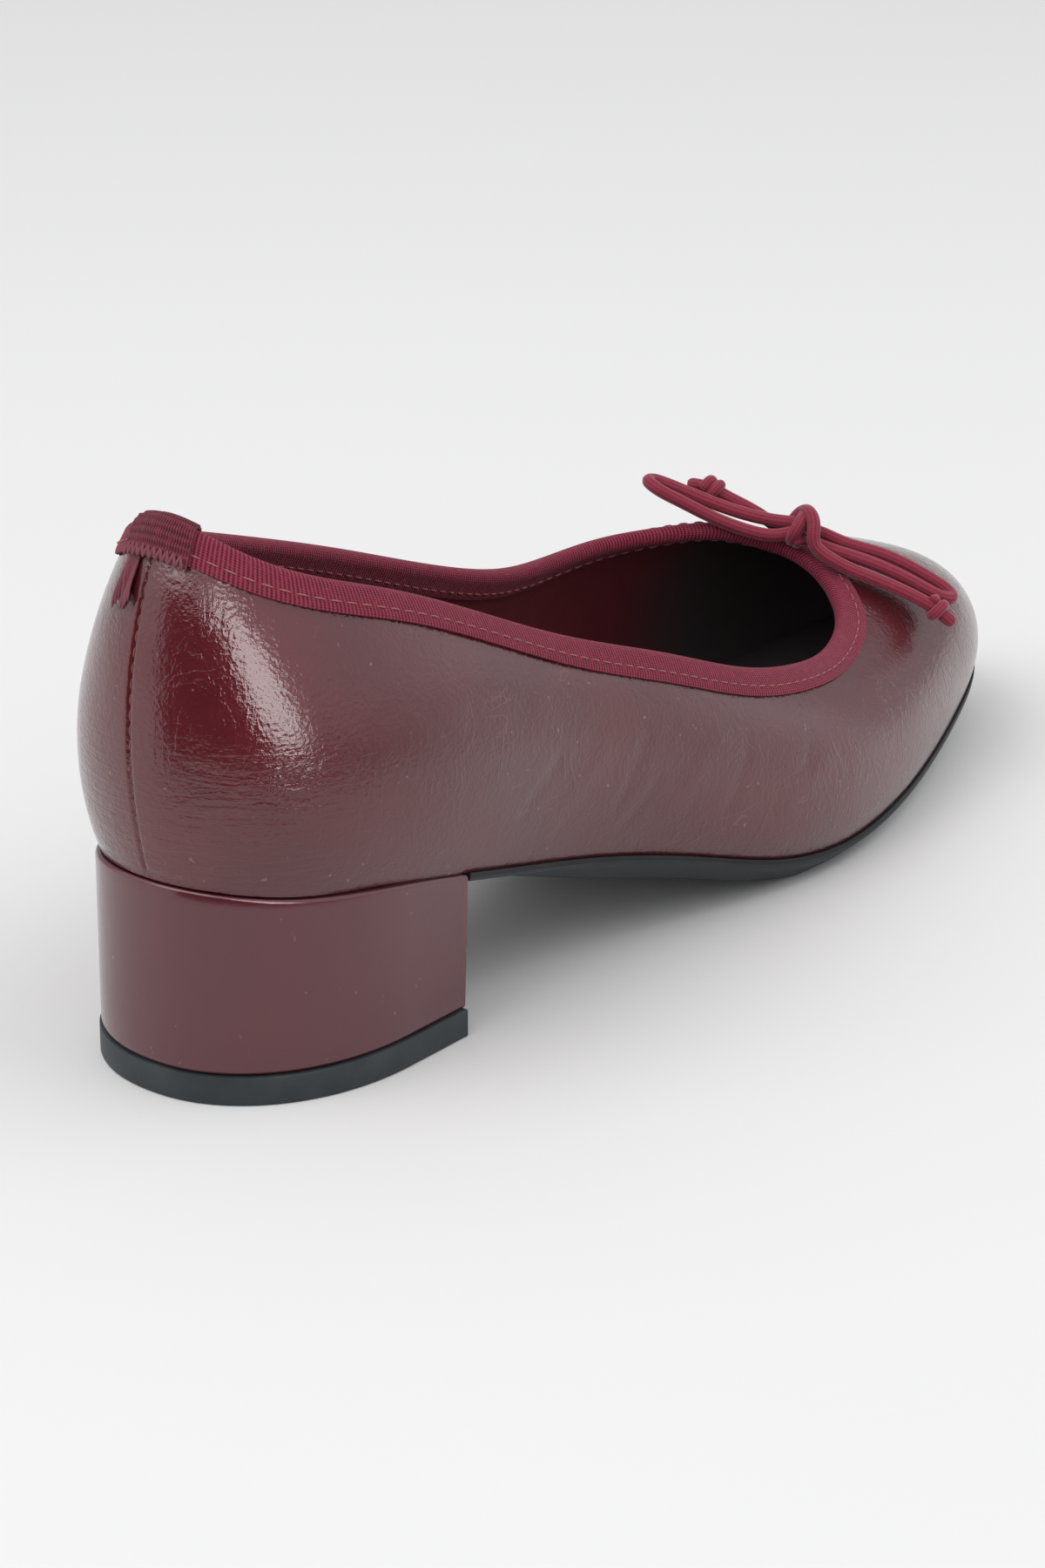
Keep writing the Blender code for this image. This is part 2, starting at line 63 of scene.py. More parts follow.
# The seat: height of the joint between the upper and what is under it, station by station
SeatRow = namedtuple("SeatRow", "station height")
SEAT = [
    SeatRow(-4.0, 37.6),
    SeatRow(10.0, 35.2),
    SeatRow(24.0, 33.5),
    SeatRow(42.0, 30.2),
    SeatRow(63.0, 25.0),
    SeatRow(88.0, 19.1),
    SeatRow(109.0, 13.0),
    SeatRow(129.0, 7.0),
    SeatRow(146.0, 4.8),
    SeatRow(164.0, 5.4),
    SeatRow(189.0, 7.4),
    SeatRow(217.0, 10.8),
    SeatRow(247.0, 15.0),
]
ARCH_LIFT = 2.5
ARCH_STATION = 76.0
ARCH_REACH = 22.0
ARCH_SIDE = 20.0

# The upper: one rib a row, from its foot on the seat to its top edge, going round from the back seam by the
# outer side, the toe and the inner side. The top is the finished edge, over the binding. low_out and low_up
# bend the rib at its foot, high_out and high_up at its top, both outwards from the shoe and up.
Rib = namedtuple("Rib", "foot_x foot_y top_x top_y top_z low_out low_up high_out high_up")
RIBS = [
    Rib(0.8, 0.0, 7.5, 0.0, 94.0, 5.2, 19.6, 10.6, -17.8),
    Rib(5.0, -13.0, 11.5, -11.6, 89.8, 6.4, 18.2, 10.8, -17.0),
    Rib(18.0, -22.5, 22.5, -18.2, 84.3, 8.0, 16.5, 10.0, -16.0),
    Rib(42.0, -25.4, 42.0, -22.0, 76.9, 9.0, 15.5, 9.7, -15.5),
    Rib(69.0, -24.7, 72.0, -24.4, 63.2, 7.8, 12.8, 7.8, -12.8),
    Rib(97.0, -27.4, 98.5, -26.7, 53.1, 7.6, 11.0, 6.8, -11.9),
    Rib(122.0, -31.8, 122.0, -27.4, 43.9, 7.1, 10.0, 8.2, -11.0),
    Rib(144.0, -33.8, 143.0, -25.0, 38.2, 6.4, 10.0, 11.0, -8.7),
    Rib(166.0, -31.7, 160.0, -19.8, 35.3, 5.8, 10.0, 12.0, -6.0),
    Rib(188.0, -26.0, 173.5, -13.3, 35.4, 5.2, 10.0, 15.0, -4.0),
    Rib(210.0, -18.6, 181.0, -6.5, 37.6, 4.6, 10.5, 20.0, -3.5),
    Rib(230.0, -8.6, 184.3, 0.0, 40.3, 4.0, 11.5, 26.0, -3.0),
    Rib(242.0, 8.0, 184.5, 5.0, 42.7, 3.6, 12.5, 33.0, -3.8),
    Rib(232.5, 23.0, 182.3, 10.2, 44.8, 4.0, 11.5, 27.0, -3.2),
    Rib(214.0, 30.2, 177.5, 16.8, 46.4, 4.6, 10.5, 21.0, -4.0),
    Rib(192.0, 34.8, 168.5, 25.0, 46.2, 5.2, 10.0, 15.0, -6.0),
    Rib(170.0, 38.6, 156.5, 29.8, 46.3, 5.6, 10.0, 11.0, -8.0),
    Rib(147.0, 37.8, 140.5, 30.4, 46.9, 6.0, 10.0, 9.0, -10.0),
    Rib(122.0, 31.8, 121.5, 28.0, 50.6, 7.0, 11.0, 7.5, -11.5),
    Rib(97.0, 24.4, 97.5, 26.0, 58.8, 8.5, 13.0, 6.5, -12.0),
    Rib(69.0, 21.6, 71.5, 24.0, 68.6, 9.3, 14.0, 7.5, -13.0),
    Rib(42.0, 24.8, 42.0, 20.5, 78.9, 8.8, 15.5, 9.7, -15.0),
    Rib(18.0, 23.2, 22.5, 17.4, 85.6, 7.6, 16.5, 9.2, -16.0),
    Rib(5.0, 13.9, 12.0, 11.0, 90.2, 6.0, 18.2, 9.4, -17.0),
]

# Creases and soft dents of the upper: side (outer -1, inner 1), from one station and height to another,
# half width and depth, below zero for a trough and above it for a ridge
Crease = namedtuple("Crease", "side from_x from_z to_x to_z width depth")
CREASES = [
    Crease(-1, 58.0, 37.0, 66.0, 44.0, 1.6, -0.13),
    Crease(-1, 67.0, 33.0, 78.0, 41.0, 2.2, 0.10),
    Crease(-1, 83.0, 31.0, 89.0, 41.0, 1.5, -0.12),
    Crease(-1, 86.0, 26.0, 92.0, 33.0, 1.3, -0.10),
    Crease(-1, 97.0, 27.0, 108.0, 36.0, 2.6, 0.10),
    Crease(-1, 110.0, 23.0, 115.0, 32.0, 1.5, -0.12),
    Crease(-1, 126.0, 19.0, 139.0, 25.0, 2.2, 0.09),
    Crease(-1, 131.0, 25.0, 136.0, 31.0, 1.4, -0.10),
    Crease(-1, 45.0, 58.0, 57.0, 55.0, 3.4, -0.14),
    Crease(1, 62.0, 40.0, 74.0, 50.0, 2.2, -0.12),
    Crease(1, 92.0, 31.0, 99.0, 42.0, 1.8, -0.12),
    Crease(1, 104.0, 26.0, 114.0, 37.0, 2.6, 0.10),
    Crease(1, 126.0, 18.0, 133.0, 29.0, 1.8, -0.12),
    Crease(1, 147.0, 17.0, 156.0, 25.0, 2.4, 0.09),
]

# The back seam: the outer panel laps over the inner one and is stitched in a groove beside its edge, with a
# painted shade line, a near-black stripe in the leather's colour, between the edge and the groove
LAP_HEIGHT = 0.45
LAP_REACH = 9.0
SEAM_GROOVE = 0.5
SEAM_GROOVE_PLACE = -0.7
SEAM_GROOVE_WIDTH = 0.55
SEAM_SHADE_PLACE = -0.35
SEAM_SHADE_WIDTHS = (0.15, 0.55)
SEAM_STITCH_PITCH = 2.5
SEAM_STITCH = 1.8

# The binding and the tab: how far they reach down the upper, the ribbon's thickness and its ribs. The bar
# tack and the frayed tail lie at depths below the top edge, and the tail hangs beside the back seam.
BINDING_DEPTH = 4.2
RIBBON = 0.6
BINDING_RIB = 0.7
BINDING_STITCH_DEPTH = 2.5
BINDING_STITCH_PITCH = 3.0
BINDING_STITCH = 2.2
TAB_WIDTH = 11.5
TAB_DEPTH = 4.9
TAB_RIB = 1.25
TAB_RIB_HEIGHT = 0.14
FINE_RIB = 0.42
BAR_TACK_DEPTHS = (3.2, 5.2)
BAR_TACK_TURNS = 22
BAR_TACK_RADIUS = 0.3
TAIL_ROW = -0.3
TAIL_DEPTHS = (4.4, 6.6, 8.8, 11.0, 13.4)
TAIL_STRANDS = 11
TAIL_STRAND_RADIUS = 0.26
TAIL_WIDTH = 1.9
ROW_LENGTH_AT_TAIL = 10.5
THREAD = 0.3

# The insole, the outsole with the painted shade band of its top edge, and the rim of the heel
INSOLE_THICKNESS = 2.0
SOLE_EDGE = 1.2
SOLE_SEAM = 0.08
SHADE_BAND_HEIGHT = 0.8
SOLE_LIP = 0.5
SOLE_BEVEL = 5.5
SOLE_DEPTH_AT_BREAST = 1.9
SOLE_DEPTH = 5.4
SOLE_DEPTH_STATION = 92.0
SOLE_EDGE_STEP = 0.12
HEEL_RIM_ROUND = 0.9

# The rings of the heel block from its foot to its rim: share of the height, how far the ring is drawn in, and
# how far it lies under the seat, in rounds of the rim. Then those of the lift: height, and how far drawn in.
HeelRing = namedtuple("HeelRing", "share inset drop")
HEEL_RINGS = [
    HeelRing(0.0, 0.35, 0.0),
    HeelRing(0.012, 0.08, 0.0),
    *[HeelRing(share, 0.0, 0.0) for share in (0.03, 0.2, 0.4, 0.6, 0.8, 0.92)],
    HeelRing(1.0, 0.0, 0.9),
    HeelRing(1.0, 0.07, 0.6),
    HeelRing(1.0, 0.2, 0.32),
    HeelRing(1.0, 0.42, 0.1),
    HeelRing(1.0, 0.9, 0.0),
]
LiftRing = namedtuple("LiftRing", "height inset")
LIFT_RINGS = [
    LiftRing(0.0, 0.5),
    LiftRing(0.12, 0.15),
    LiftRing(0.4, 0.0),
    LiftRing(2.5, 0.0),
    LiftRing(TOP_PIECE_HEIGHT - 0.35, 0.0),
    LiftRing(TOP_PIECE_HEIGHT - 0.1, 0.1),
    LiftRing(TOP_PIECE_HEIGHT, 0.35),
]

# The bow: its knot on the binding at the throat, and the routes of its cord measured from the knot, along
# the bow to the inner side, across it to the toe, and up. Each half of the cord makes a loop, turns back
# inside the knot and runs on to its own end, which is knotted too and cut a little past that knot.
CORD = 2.5
CORD_STEP = 0.45
KNOT_CENTRE = (185.6, 3.4, 47.2)
BOW_TURN = math.radians(27.0)
INNER_LOOP = [(0.6, -1.0, -0.6), (4.0, -1.5, -1.4), (9.6, -1.6, -0.8), (16.4, -1.7, 1.5), (23.2, -1.7, 4.6),
              (26.4, -1.6, 6.1), (28.3, -0.9, 7.1), (28.9, 0.1, 7.4), (28.4, 1.1, 7.3), (26.5, 1.7, 6.7),
              (23.6, 1.7, 5.7), (16.9, 1.6, 3.3), (11.0, 1.5, 1.6), (4.0, 1.3, 0.5)]
INNER_TURN = [(0.8, 0.6, 0.5), (-1.2, 0.9, -0.2), (-0.8, 1.9, -1.4), (1.4, 2.6, -1.8)]
INNER_END = [(3.6, 3.2, -1.6), (7.5, 4.1, 0.3), (11.2, 4.4, 2.2), (14.6, 4.7, 3.7)]
INNER_END_KNOT = (17.6, 5.0, 5.0)
INNER_STUB = [INNER_END_KNOT, (20.0, 5.1, 5.5), (22.2, 5.1, 5.7)]
OUTER_LOOP = [(-0.6, 1.0, -0.4), (-4.0, 1.4, -1.4), (-8.0, 1.5, -3.0), (-14.6, 1.6, -4.7), (-21.4, 1.7, -7.4),
              (-26.5, 1.6, -10.2), (-28.5, 1.0, -11.5), (-29.1, 0.0, -12.1), (-28.5, -1.0, -12.1),
              (-26.3, -1.6, -11.3), (-21.8, -1.7, -9.0), (-12.8, -1.6, -5.4), (-8.0, -1.5, -4.1),
              (-4.0, -1.4, -2.9)]
OUTER_TURN = [(-0.8, -0.8, -1.8), (1.4, 0.6, -1.2), (1.2, 2.0, 0.8), (-0.6, 1.4, 2.7), (-2.0, -0.6, 3.0),
              (-3.0, -2.5, 1.6), (-3.1, -3.5, -0.2)]
OUTER_END = [(-3.4, -3.9, -2.0), (-5.6, -4.3, -4.0), (-8.5, -4.6, -5.5), (-13.5, -5.0, -7.3),
             (-19.0, -5.3, -9.2), (-24.0, -5.6, -11.3)]
OUTER_END_KNOT = (-26.7, -5.7, -12.8)
OUTER_STUB = [OUTER_END_KNOT, (-28.6, -5.8, -14.2), (-30.2, -5.9, -15.4)]

# The coils of cord in the middle knot and in the end knots: how thick the cord is, the coil's radii to the
# side and up, its turns, its width and the angle it starts at
Coil = namedtuple("Coil", "cord side up turns width start")
MIDDLE_COIL = Coil(CORD, 2.6, 2.5, 1.15, 1.4, 200.0)
MIDDLE_COIL_DROP = 0.3
MIDDLE_COIL_TILT = 0.4
END_COIL = Coil(CORD * 0.86, 1.45, 1.35, 1.35, 2.6, 60.0)

# How finely the meshes are divided, and the name of the map that says how far along and across a place is
OUTLINE_POINTS = 4801
UPPER_POINTS_ROUND = 620
UPPER_POINTS_OUTSIDE = 84
UPPER_POINTS_INSIDE = 28
BINDING_POINTS_ROUND = 1300
SOLE_POINTS_ACROSS = 13
PLACE_MAP = "ribbon_place"

# The share of the upper's height where lengths round it are measured
MIDDLE_RISE = 0.55

# Places in materials, in metres: where the lining turns to black cloth and half the length it takes, and the
# back and low end of the counter, where the leather wrinkles
LINING_JOIN = 0.160
LINING_BLEND = 0.012
WRINKLES_AHEAD = (-0.020, 0.006)
WRINKLES_UP = (0.050, 0.072)

# The camera stands where the photo's stood, aimed at the middle of the one shoe. LOOK and RIGHT are the
# photo's level ways ahead and to the right.
CAMERA_PLACE = (-0.45978, -0.41095, 0.28345)
CAMERA_AIM = (0.072, 0.0, 0.0235)
CAMERA_LENS = 95.0
CAMERA_FILM = 36.0
LOOK = np.array([0.73916, 0.67353])
RIGHT = np.array([0.67353, -0.73916])

# The soft lights: where they stand, the place they face, their sides, their power in watts, and whether
# reflections show them
Light = namedtuple("Light", "name place aim width height power shown")
LIGHTS = [
    Light("top_light", (0.1, 0.25, 1.9), (0.08, 0.0, 0.0), 1.5, 1.5, 0.6, True),
    Light("left_light", (-0.9, 0.30, 1.2), (-0.1, 0.0, 0.0), 1.3, 1.3, 10.0, True),
    Light("right_light", (0.50, -0.66, 1.05), (0.08, 0.0, 0.04), 1.2, 0.8, 3.5, False),
]
ROOM_FILL = (0.71, 0.71, 0.715, 1.0)
ROOM_SHINE = (1.0, 1.0, 1.03, 1.0)

# The studio cards, which only reflections show, and the spot they stand round. A wall goes from one angle,
# distance and height to another and glows with one strength, or with one that grows over the span to its far
# strength. The rows of the bright card have a left and a right angle and a rise. Angles are in degrees to the
# right of the way back to the camera.
CARD_SPOT = (-0.018, -0.016, 0.070)
Wall = namedtuple("Wall", "name angles distances heights strength far_strength")
WALLS = [
    Wall("dark_wall", (-60.0, 22.0), (0.155, 0.155), (0.155, 0.155), 0.004, None),
    Wall("dark_rim", (22.0, 112.0), (0.155, 0.27), (0.028, 0.050), 0.08, 0.8),
]
WALL_STEPS = 24
WALL_SPAN = (-0.07, 0.19)
STREAK_DISTANCE = 0.14
STREAK_STRENGTH = 6.0
StreakRow = namedtuple("StreakRow", "left right rise")
STREAK = [
    StreakRow(-18.0, 6.0, 36.0),
    StreakRow(0.0, 30.0, 15.0),
    StreakRow(20.0, 42.0, -10.0),
]


def smooth_share(value, low, high):
    """0 below low, 1 above high, and a smooth rise between them."""
    share = np.clip((value - low) / (high - low), 0.0, 1.0)
    return share * share * (3.0 - 2.0 * share)


def unit(vectors):
    """The vectors at a length of one."""
    return vectors / np.linalg.norm(vectors, axis=-1, keepdims=True)


def closed_spline(points):
    """A smooth closed curve through the points: a function of the row number, whole at each point."""
    points = np.array(points, float)
    count = len(points)
    matrix = 4.0 * np.eye(count)
    for row in range(count):
        matrix[row, row - 1] += 1.0
        matrix[row, (row + 1) % count] += 1.0
    second = np.roll(points, 1, 0) - 2.0 * points + np.roll(points, -1, 0)
    bends = np.linalg.solve(matrix, 6.0 * second)

    def at(row):
        row = np.asarray(row, float) % count
        low = np.floor(row).astype(int) % count
        high = (low + 1) % count
        b = (row - np.floor(row))[..., None]
        a = 1.0 - b
        chord = a * points[low] + b * points[high]
        return chord + ((a ** 3 - a) * bends[low] + (b ** 3 - b) * bends[high]) / 6.0

    return at


def open_spline(xs, ys):
    """A smooth curve y(x) through the rows of a table, level in bend at both ends."""
    xs = np.array(xs, float)
    ys = np.array(ys, float)
    count = len(xs)
    matrix = np.eye(count)
    right = np.zeros(count)
    step = np.diff(xs)
    for row in range(1, count - 1):
        matrix[row, row - 1:row + 2] = (step[row - 1], 2.0 * (step[row - 1] + step[row]), step[row])
        right[row] = 6.0 * ((ys[row + 1] - ys[row]) / step[row] - (ys[row] - ys[row - 1]) / step[row - 1])
    bends = np.linalg.solve(matrix, right)

    def at(x):
        x = np.clip(np.asarray(x, float), xs[0], xs[-1])
        low = np.clip(np.searchsorted(xs, x) - 1, 0, count - 2)
        h = step[low]
        b = (x - xs[low]) / h
        a = 1.0 - b
        bow = ((a ** 3 - a) * bends[low] + (b ** 3 - b) * bends[low + 1]) * h * h / 6.0
        return a * ys[low] + b * ys[low + 1] + bow

    return at


SEAT_LINE = open_spline([row.station for row in SEAT], [row.height for row in SEAT])


def seat_height(x, y):
    """Height of the seat at a place in plan: the seat line, lifted in the arch on the inner side."""
    arch = ARCH_LIFT * np.exp(-((np.asarray(x, float) - ARCH_STATION) / ARCH_REACH) ** 2)
    return SEAT_LINE(x) + arch * smooth_share(np.asarray(y, float), 0.0, ARCH_SIDE)


def rib_curves():
    """The four control curves of the upper's ribs, as functions of the row number."""
    plan = closed_spline([(rib.foot_x, rib.foot_y) for rib in RIBS])
    rows = np.arange(len(RIBS))
    run = unit(plan(rows + 0.01) - plan(rows - 0.01))
    outward = np.stack([run[:, 1], -run[:, 0]], 1)
    feet, lows, highs, tops = [], [], [], []
    for rib, out in zip(RIBS, outward):
        foot = np.array([rib.foot_x, rib.foot_y, float(seat_height(rib.foot_x, rib.foot_y))])
        bend = np.array([*(out * rib.high_out), rib.high_up])
        finished = np.array([rib.top_x, rib.top_y, rib.top_z])
        feet.append(foot)
        lows.append(foot + np.array([*(out * rib.low_out), rib.low_up]))
        highs.append(finished + bend)
        tops.append(finished + unit(bend) * (WALL * 0.5 + GAP + RIBBON))
    return [closed_spline(points) for points in (feet, lows, highs, tops)]


RIB_CURVES = rib_curves()


def upper_point(row, up):
    """A point of the upper's outer face: row goes round the shoe, up goes from the seat to the top edge."""
    row, up = np.broadcast_arrays(np.asarray(row, float), np.asarray(up, float))
    foot, low, high, top = (curve(row) for curve in RIB_CURVES)
    foot = foot.copy()
    foot[..., 2] = seat_height(foot[..., 0], foot[..., 1])
    b = up[..., None]
    a = 1.0 - b
    return a ** 3 * foot + 3.0 * a * a * b * low + 3.0 * a * b * b * high + b ** 3 * top


def upper_normal(row, up):
    """The outward unit normal of the upper's outer face."""
    row = np.asarray(row, float)
    up = np.asarray(up, float)
    round_step = upper_point(row + 0.01, up) - upper_point(row - 0.01, up)
    up_step = upper_point(row, up + 0.005) - upper_point(row, up - 0.005)
    return unit(np.cross(round_step, up_step))


def lengths_along(points):
    """How far along a line each of its points is."""
    return np.concatenate([[0.0], np.cumsum(np.linalg.norm(np.diff(points, axis=0), axis=1))])


def read_line(places, lengths, points):
    """Points read from a line at places along it."""
    return np.stack([np.interp(places, lengths, points[:, axis]) for axis in range(3)], 1)


def row_lengths(up):
    """Row numbers close together round the shoe, and how far round each is at this share of the height."""
    rows = np.linspace(0.0, len(RIBS), OUTLINE_POINTS)
    return rows, lengths_along(upper_point(rows, up))


def rises_at_depths(rows, depths):
    """How far up its rib each point is that lies this far below the top edge: one line for each row."""
    ups = np.linspace(1.0, 0.35, 131)
    points = upper_point(rows[:, None], ups[None, :])
    steps = np.linalg.norm(np.diff(points, axis=1), axis=2)
    below = np.concatenate([np.zeros((len(rows), 1)), np.cumsum(steps, axis=1)], axis=1)
    return np.array([np.interp(depths, line, ups) for line in below])


def point_at_depth(row, depth, away):
    """A point on one rib, this far below the top edge and this far off the leather."""
    rise = rises_at_depths(np.array([row]), [depth])[0, 0]
    return upper_point(row, rise) + upper_normal(row, rise) * away


def seat_sides(grow):
    """The seat's outline, grown by some millimetres: its outer and inner side by station, and its ends."""
    rows = np.linspace(0.0, len(RIBS), OUTLINE_POINTS)
    outline = upper_point(rows, 0.0)[:, :2]
    run = unit(np.gradient(outline, axis=0))
    outline = outline + np.stack([run[:, 1], -run[:, 0]], 1) * grow
    tip = int(np.argmax(outline[:, 0]))
    outer = outline[:tip + 1]
    inner = outline[tip:][::-1]

    def outer_side(x):
        return np.interp(x, outer[:, 0], outer[:, 1])

    def inner_side(x):
        return np.interp(x, inner[:, 0], inner[:, 1])

    return outer_side, inner_side, (float(outline[0, 0]), float(outline[tip, 0]))


# Making meshes
def to_frame(points):
    """Points in the shoe's stations, in millimetres, as metres in the frame."""
    return (np.asarray(points, float) - (HEEL_LENGTH / 2.0, 0.0, 0.0)) * MM


def turn_outwards(mesh):
    """Turn the faces of a closed mesh outwards."""
    shape = bmesh.new()
    shape.from_mesh(mesh)
    shape.normal_update()
    bmesh.ops.recalc_face_normals(shape, faces=shape.faces)
    shape.to_mesh(mesh)
    shape.free()


def mesh_from(name, points, faces, sharp_angle=None, places=None):
    """A smooth closed mesh from points in millimetres, with a map of the places of its corners if given."""
    mesh = bpy.data.meshes.new(name)
    mesh.from_pydata(to_frame(points).tolist(), [], faces)
    if places is not None:
        mesh.uv_layers.new(name=PLACE_MAP).data.foreach_set("uv", places)
    turn_outwards(mesh)
    mesh.shade_smooth()
    if sharp_angle is not None:
        mesh.set_sharp_from_angle(angle=math.radians(sharp_angle))
    return mesh


def ring_faces(rounds, across, closed_round):
    """The faces between closed rings of points, and the ring numbers and places of their corners."""
    first = np.arange(rounds if closed_round else rounds - 1)
    second = np.arange(across)
    a, b = (grid.ravel() for grid in np.meshgrid(first, second, indexing="ij"))
    corners = [(a, b), (a + 1, b), (a + 1, b + 1), (a, b + 1)]
    faces = np.stack([i % rounds * across + j % across for i, j in corners], 1)
    return faces, corners


def capped_faces(rounds, across, first=0):
    """The faces between rings of points and one on each end, where first is the first point's number."""
    faces = (ring_faces(rounds, across, False)[0] + first).tolist()
    last = first + (rounds - 1) * across
    return faces + [list(range(start, start + across)) for start in (first, last)]


def ring_mesh(name, grid, closed_round, run, rise, sharp_angle=None):
    """A closed mesh through rings of points, with a map of how far along and across each place is."""
    rounds, across = grid.shape[:2]
    faces, corners = ring_faces(rounds, across, closed_round)
    faces = faces.tolist()
    places = np.stack([np.stack([run[i], rise[j]], 1) for i, j in corners], 1).ravel()
    if not closed_round:
        faces = capped_faces(rounds, across)
        places = np.append(places, np.zeros(4 * across))
    return mesh_from(name, grid.reshape(-1, 3), faces, sharp_angle, places)


def solid_from_rings(name, rings, sharp_angle):
    """A closed solid through like-numbered rings of points, with flat ends."""
    rings = np.array(rings)
    return mesh_from(name, rings.reshape(-1, 3), capped_faces(*rings.shape[:2]), sharp_angle)


def tube_rings(path, radii, sides):
    """Rings of points round a line, without twist."""
    path = np.asarray(path, float)
    run = unit(np.gradient(path, axis=0))
    side = np.cross(run[0], (0.0, 0.0, 1.0))
    if np.linalg.norm(side) < 0.1:
        side = np.cross(run[0], (0.0, 1.0, 0.0))
    turn = np.arange(sides) / sides * 2.0 * math.pi
    rings = []
    for place, ahead, radius in zip(path, run, np.broadcast_to(radii, len(path))):
        side = unit(side - ahead * (side @ ahead))
        other = np.cross(ahead, side)
        rings.append(place + radius * (np.cos(turn)[:, None] * side + np.sin(turn)[:, None] * other))
    return np.array(rings)


def round_ended(count, radius, share=0.35):
    """Radii of a tube that is full along its length and draws in at both ends."""
    ends = np.minimum(np.arange(count), np.arange(count)[::-1])
    return radius * np.where(ends == 0, share, np.where(ends == 1, 0.86, 1.0))


def tubes_mesh(name, tubes, sides):
    """Many round-ended tubes as one mesh: each a line and a radius."""
    points = []
    faces = []
    for path, radius in tubes:
        rings = tube_rings(path, round_ended(len(path), radius), sides)
        faces.extend(capped_faces(len(rings), sides, len(points)))
        points.extend(rings.reshape(-1, 3))
    return mesh_from(name, points, faces)


def add_object(name, data):
    """Put an object in the scene."""
    thing = bpy.data.objects.new(name, data)
    bpy.context.scene.collection.objects.link(thing)
    return thing


def add_piece(mesh, materials, nodes=()):
    """Put a piece, named like its mesh, on the shoe's body, in place of the CAD nodes that it stands for."""
    for material in materials:
        mesh.materials.append(material)
    piece = add_object(mesh.name, mesh)
    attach(piece, BODY)
    if nodes:
        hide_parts(*nodes)
    return piece


# Making materials
def add_node(tree, kind, inputs=None, **settings):
    """A shader node, with its inputs linked or set."""
    node = tree.nodes.new(kind)
    for key, value in settings.items():
        setattr(node, key, value)
    for key, value in (inputs or {}).items():
        if isinstance(value, bpy.types.NodeSocket):
            tree.links.new(value, node.inputs[key])
        else:
            node.inputs[key].default_value = value
    return node


def new_material(name, **values):
    """A Principled material with the given constant values, its node tree and its shader."""
    material = bpy.data.materials.new(name)
    material.use_nodes = True
    tree = material.node_tree
    shader = tree.nodes["Principled BSDF"]
    for key, value in values.items():
        shader.inputs[key.replace("_", " ")].default_value = value
    return material, tree, shader


def connect(shader, **sockets):
    """Link sockets to the shader's inputs of those names."""
    for key, socket in sockets.items():
        shader.id_data.links.new(socket, shader.inputs[key.replace("_", " ")])


def object_place(tree):
    """The place on the object, in metres."""
    return add_node(tree, "ShaderNodeTexCoord").outputs["Object"]


def axes_of(tree, vector):
    """The three parts of a vector."""
    return add_node(tree, "ShaderNodeSeparateXYZ", {"Vector": vector}).outputs


def mapped_place(tree):
    """How far along and across a place is, in the mesh's own map."""
    return axes_of(tree, add_node(tree, "ShaderNodeUVMap", uv_map=PLACE_MAP).outputs["UV"])


def scaled(tree, vector, scale, turn=(0.0, 0.0, 0.0)):
    """A place turned, with each axis scaled by its own factor."""
    inputs = {"Vector": vector, "Rotation": turn, "Scale": scale}
    return add_node(tree, "ShaderNodeMapping", inputs).outputs["Vector"]


def noise(tree, vector, scale, detail=2.0, roughness=0.5, distortion=0.0):
    """Soft noise from 0 to 1."""
    inputs = {"Vector": vector, "Scale": scale, "Detail": detail, "Roughness": roughness,
              "Distortion": distortion}
    return add_node(tree, "ShaderNodeTexNoise", inputs).outputs["Fac"]


def calculate(tree, operation, first, second=0.0):
    """One step of arithmetic."""
    return add_node(tree, "ShaderNodeMath", {0: first, 1: second}, operation=operation).outputs["Value"]


def product(tree, first, second):
    """Two values multiplied."""
    return calculate(tree, "MULTIPLY", first, second)


def away_from(tree, value, middle):
    """How far a value is from a middle one."""
    return calculate(tree, "ABSOLUTE", calculate(tree, "SUBTRACT", value, middle))


def wave(tree, value, length):
    """A sine wave of a given length."""
    return calculate(tree, "SINE", product(tree, value, 2.0 * math.pi / length))


def to_range(tree, value, low, high, to_low=0.0, to_high=1.0):
    """A value carried smoothly from one range to another."""
    inputs = {"Value": value, "From Min": low, "From Max": high, "To Min": to_low, "To Max": to_high}
    return add_node(tree, "ShaderNodeMapRange", inputs, interpolation_type="SMOOTHSTEP").outputs["Result"]


def mix_colours(tree, share, first, second):
    """A colour between two others, each a socket or its red, green and blue."""
    first, second = ((*colour, 1.0) if isinstance(colour, tuple) else colour for colour in (first, second))
    node = add_node(tree, "ShaderNodeMix", {0: share, 6: first, 7: second}, data_type="RGBA")
    return node.outputs[2]


def specks(tree, place, scale, share):
    """Sparse small specks, from 0 to a share."""
    return to_range(tree, noise(tree, place, scale, 1.0), 0.74, 0.80, 0.0, share)


def bumps(tree, *layers):
    """A surface raised by layers one over the other: each a height, its strength and its distance."""
    inputs = {}
    for height, strength, distance in layers:
        inputs.update(Height=height, Strength=strength, Distance=distance)
        inputs["Normal"] = add_node(tree, "ShaderNodeBump", inputs).outputs["Normal"]
    return inputs["Normal"]


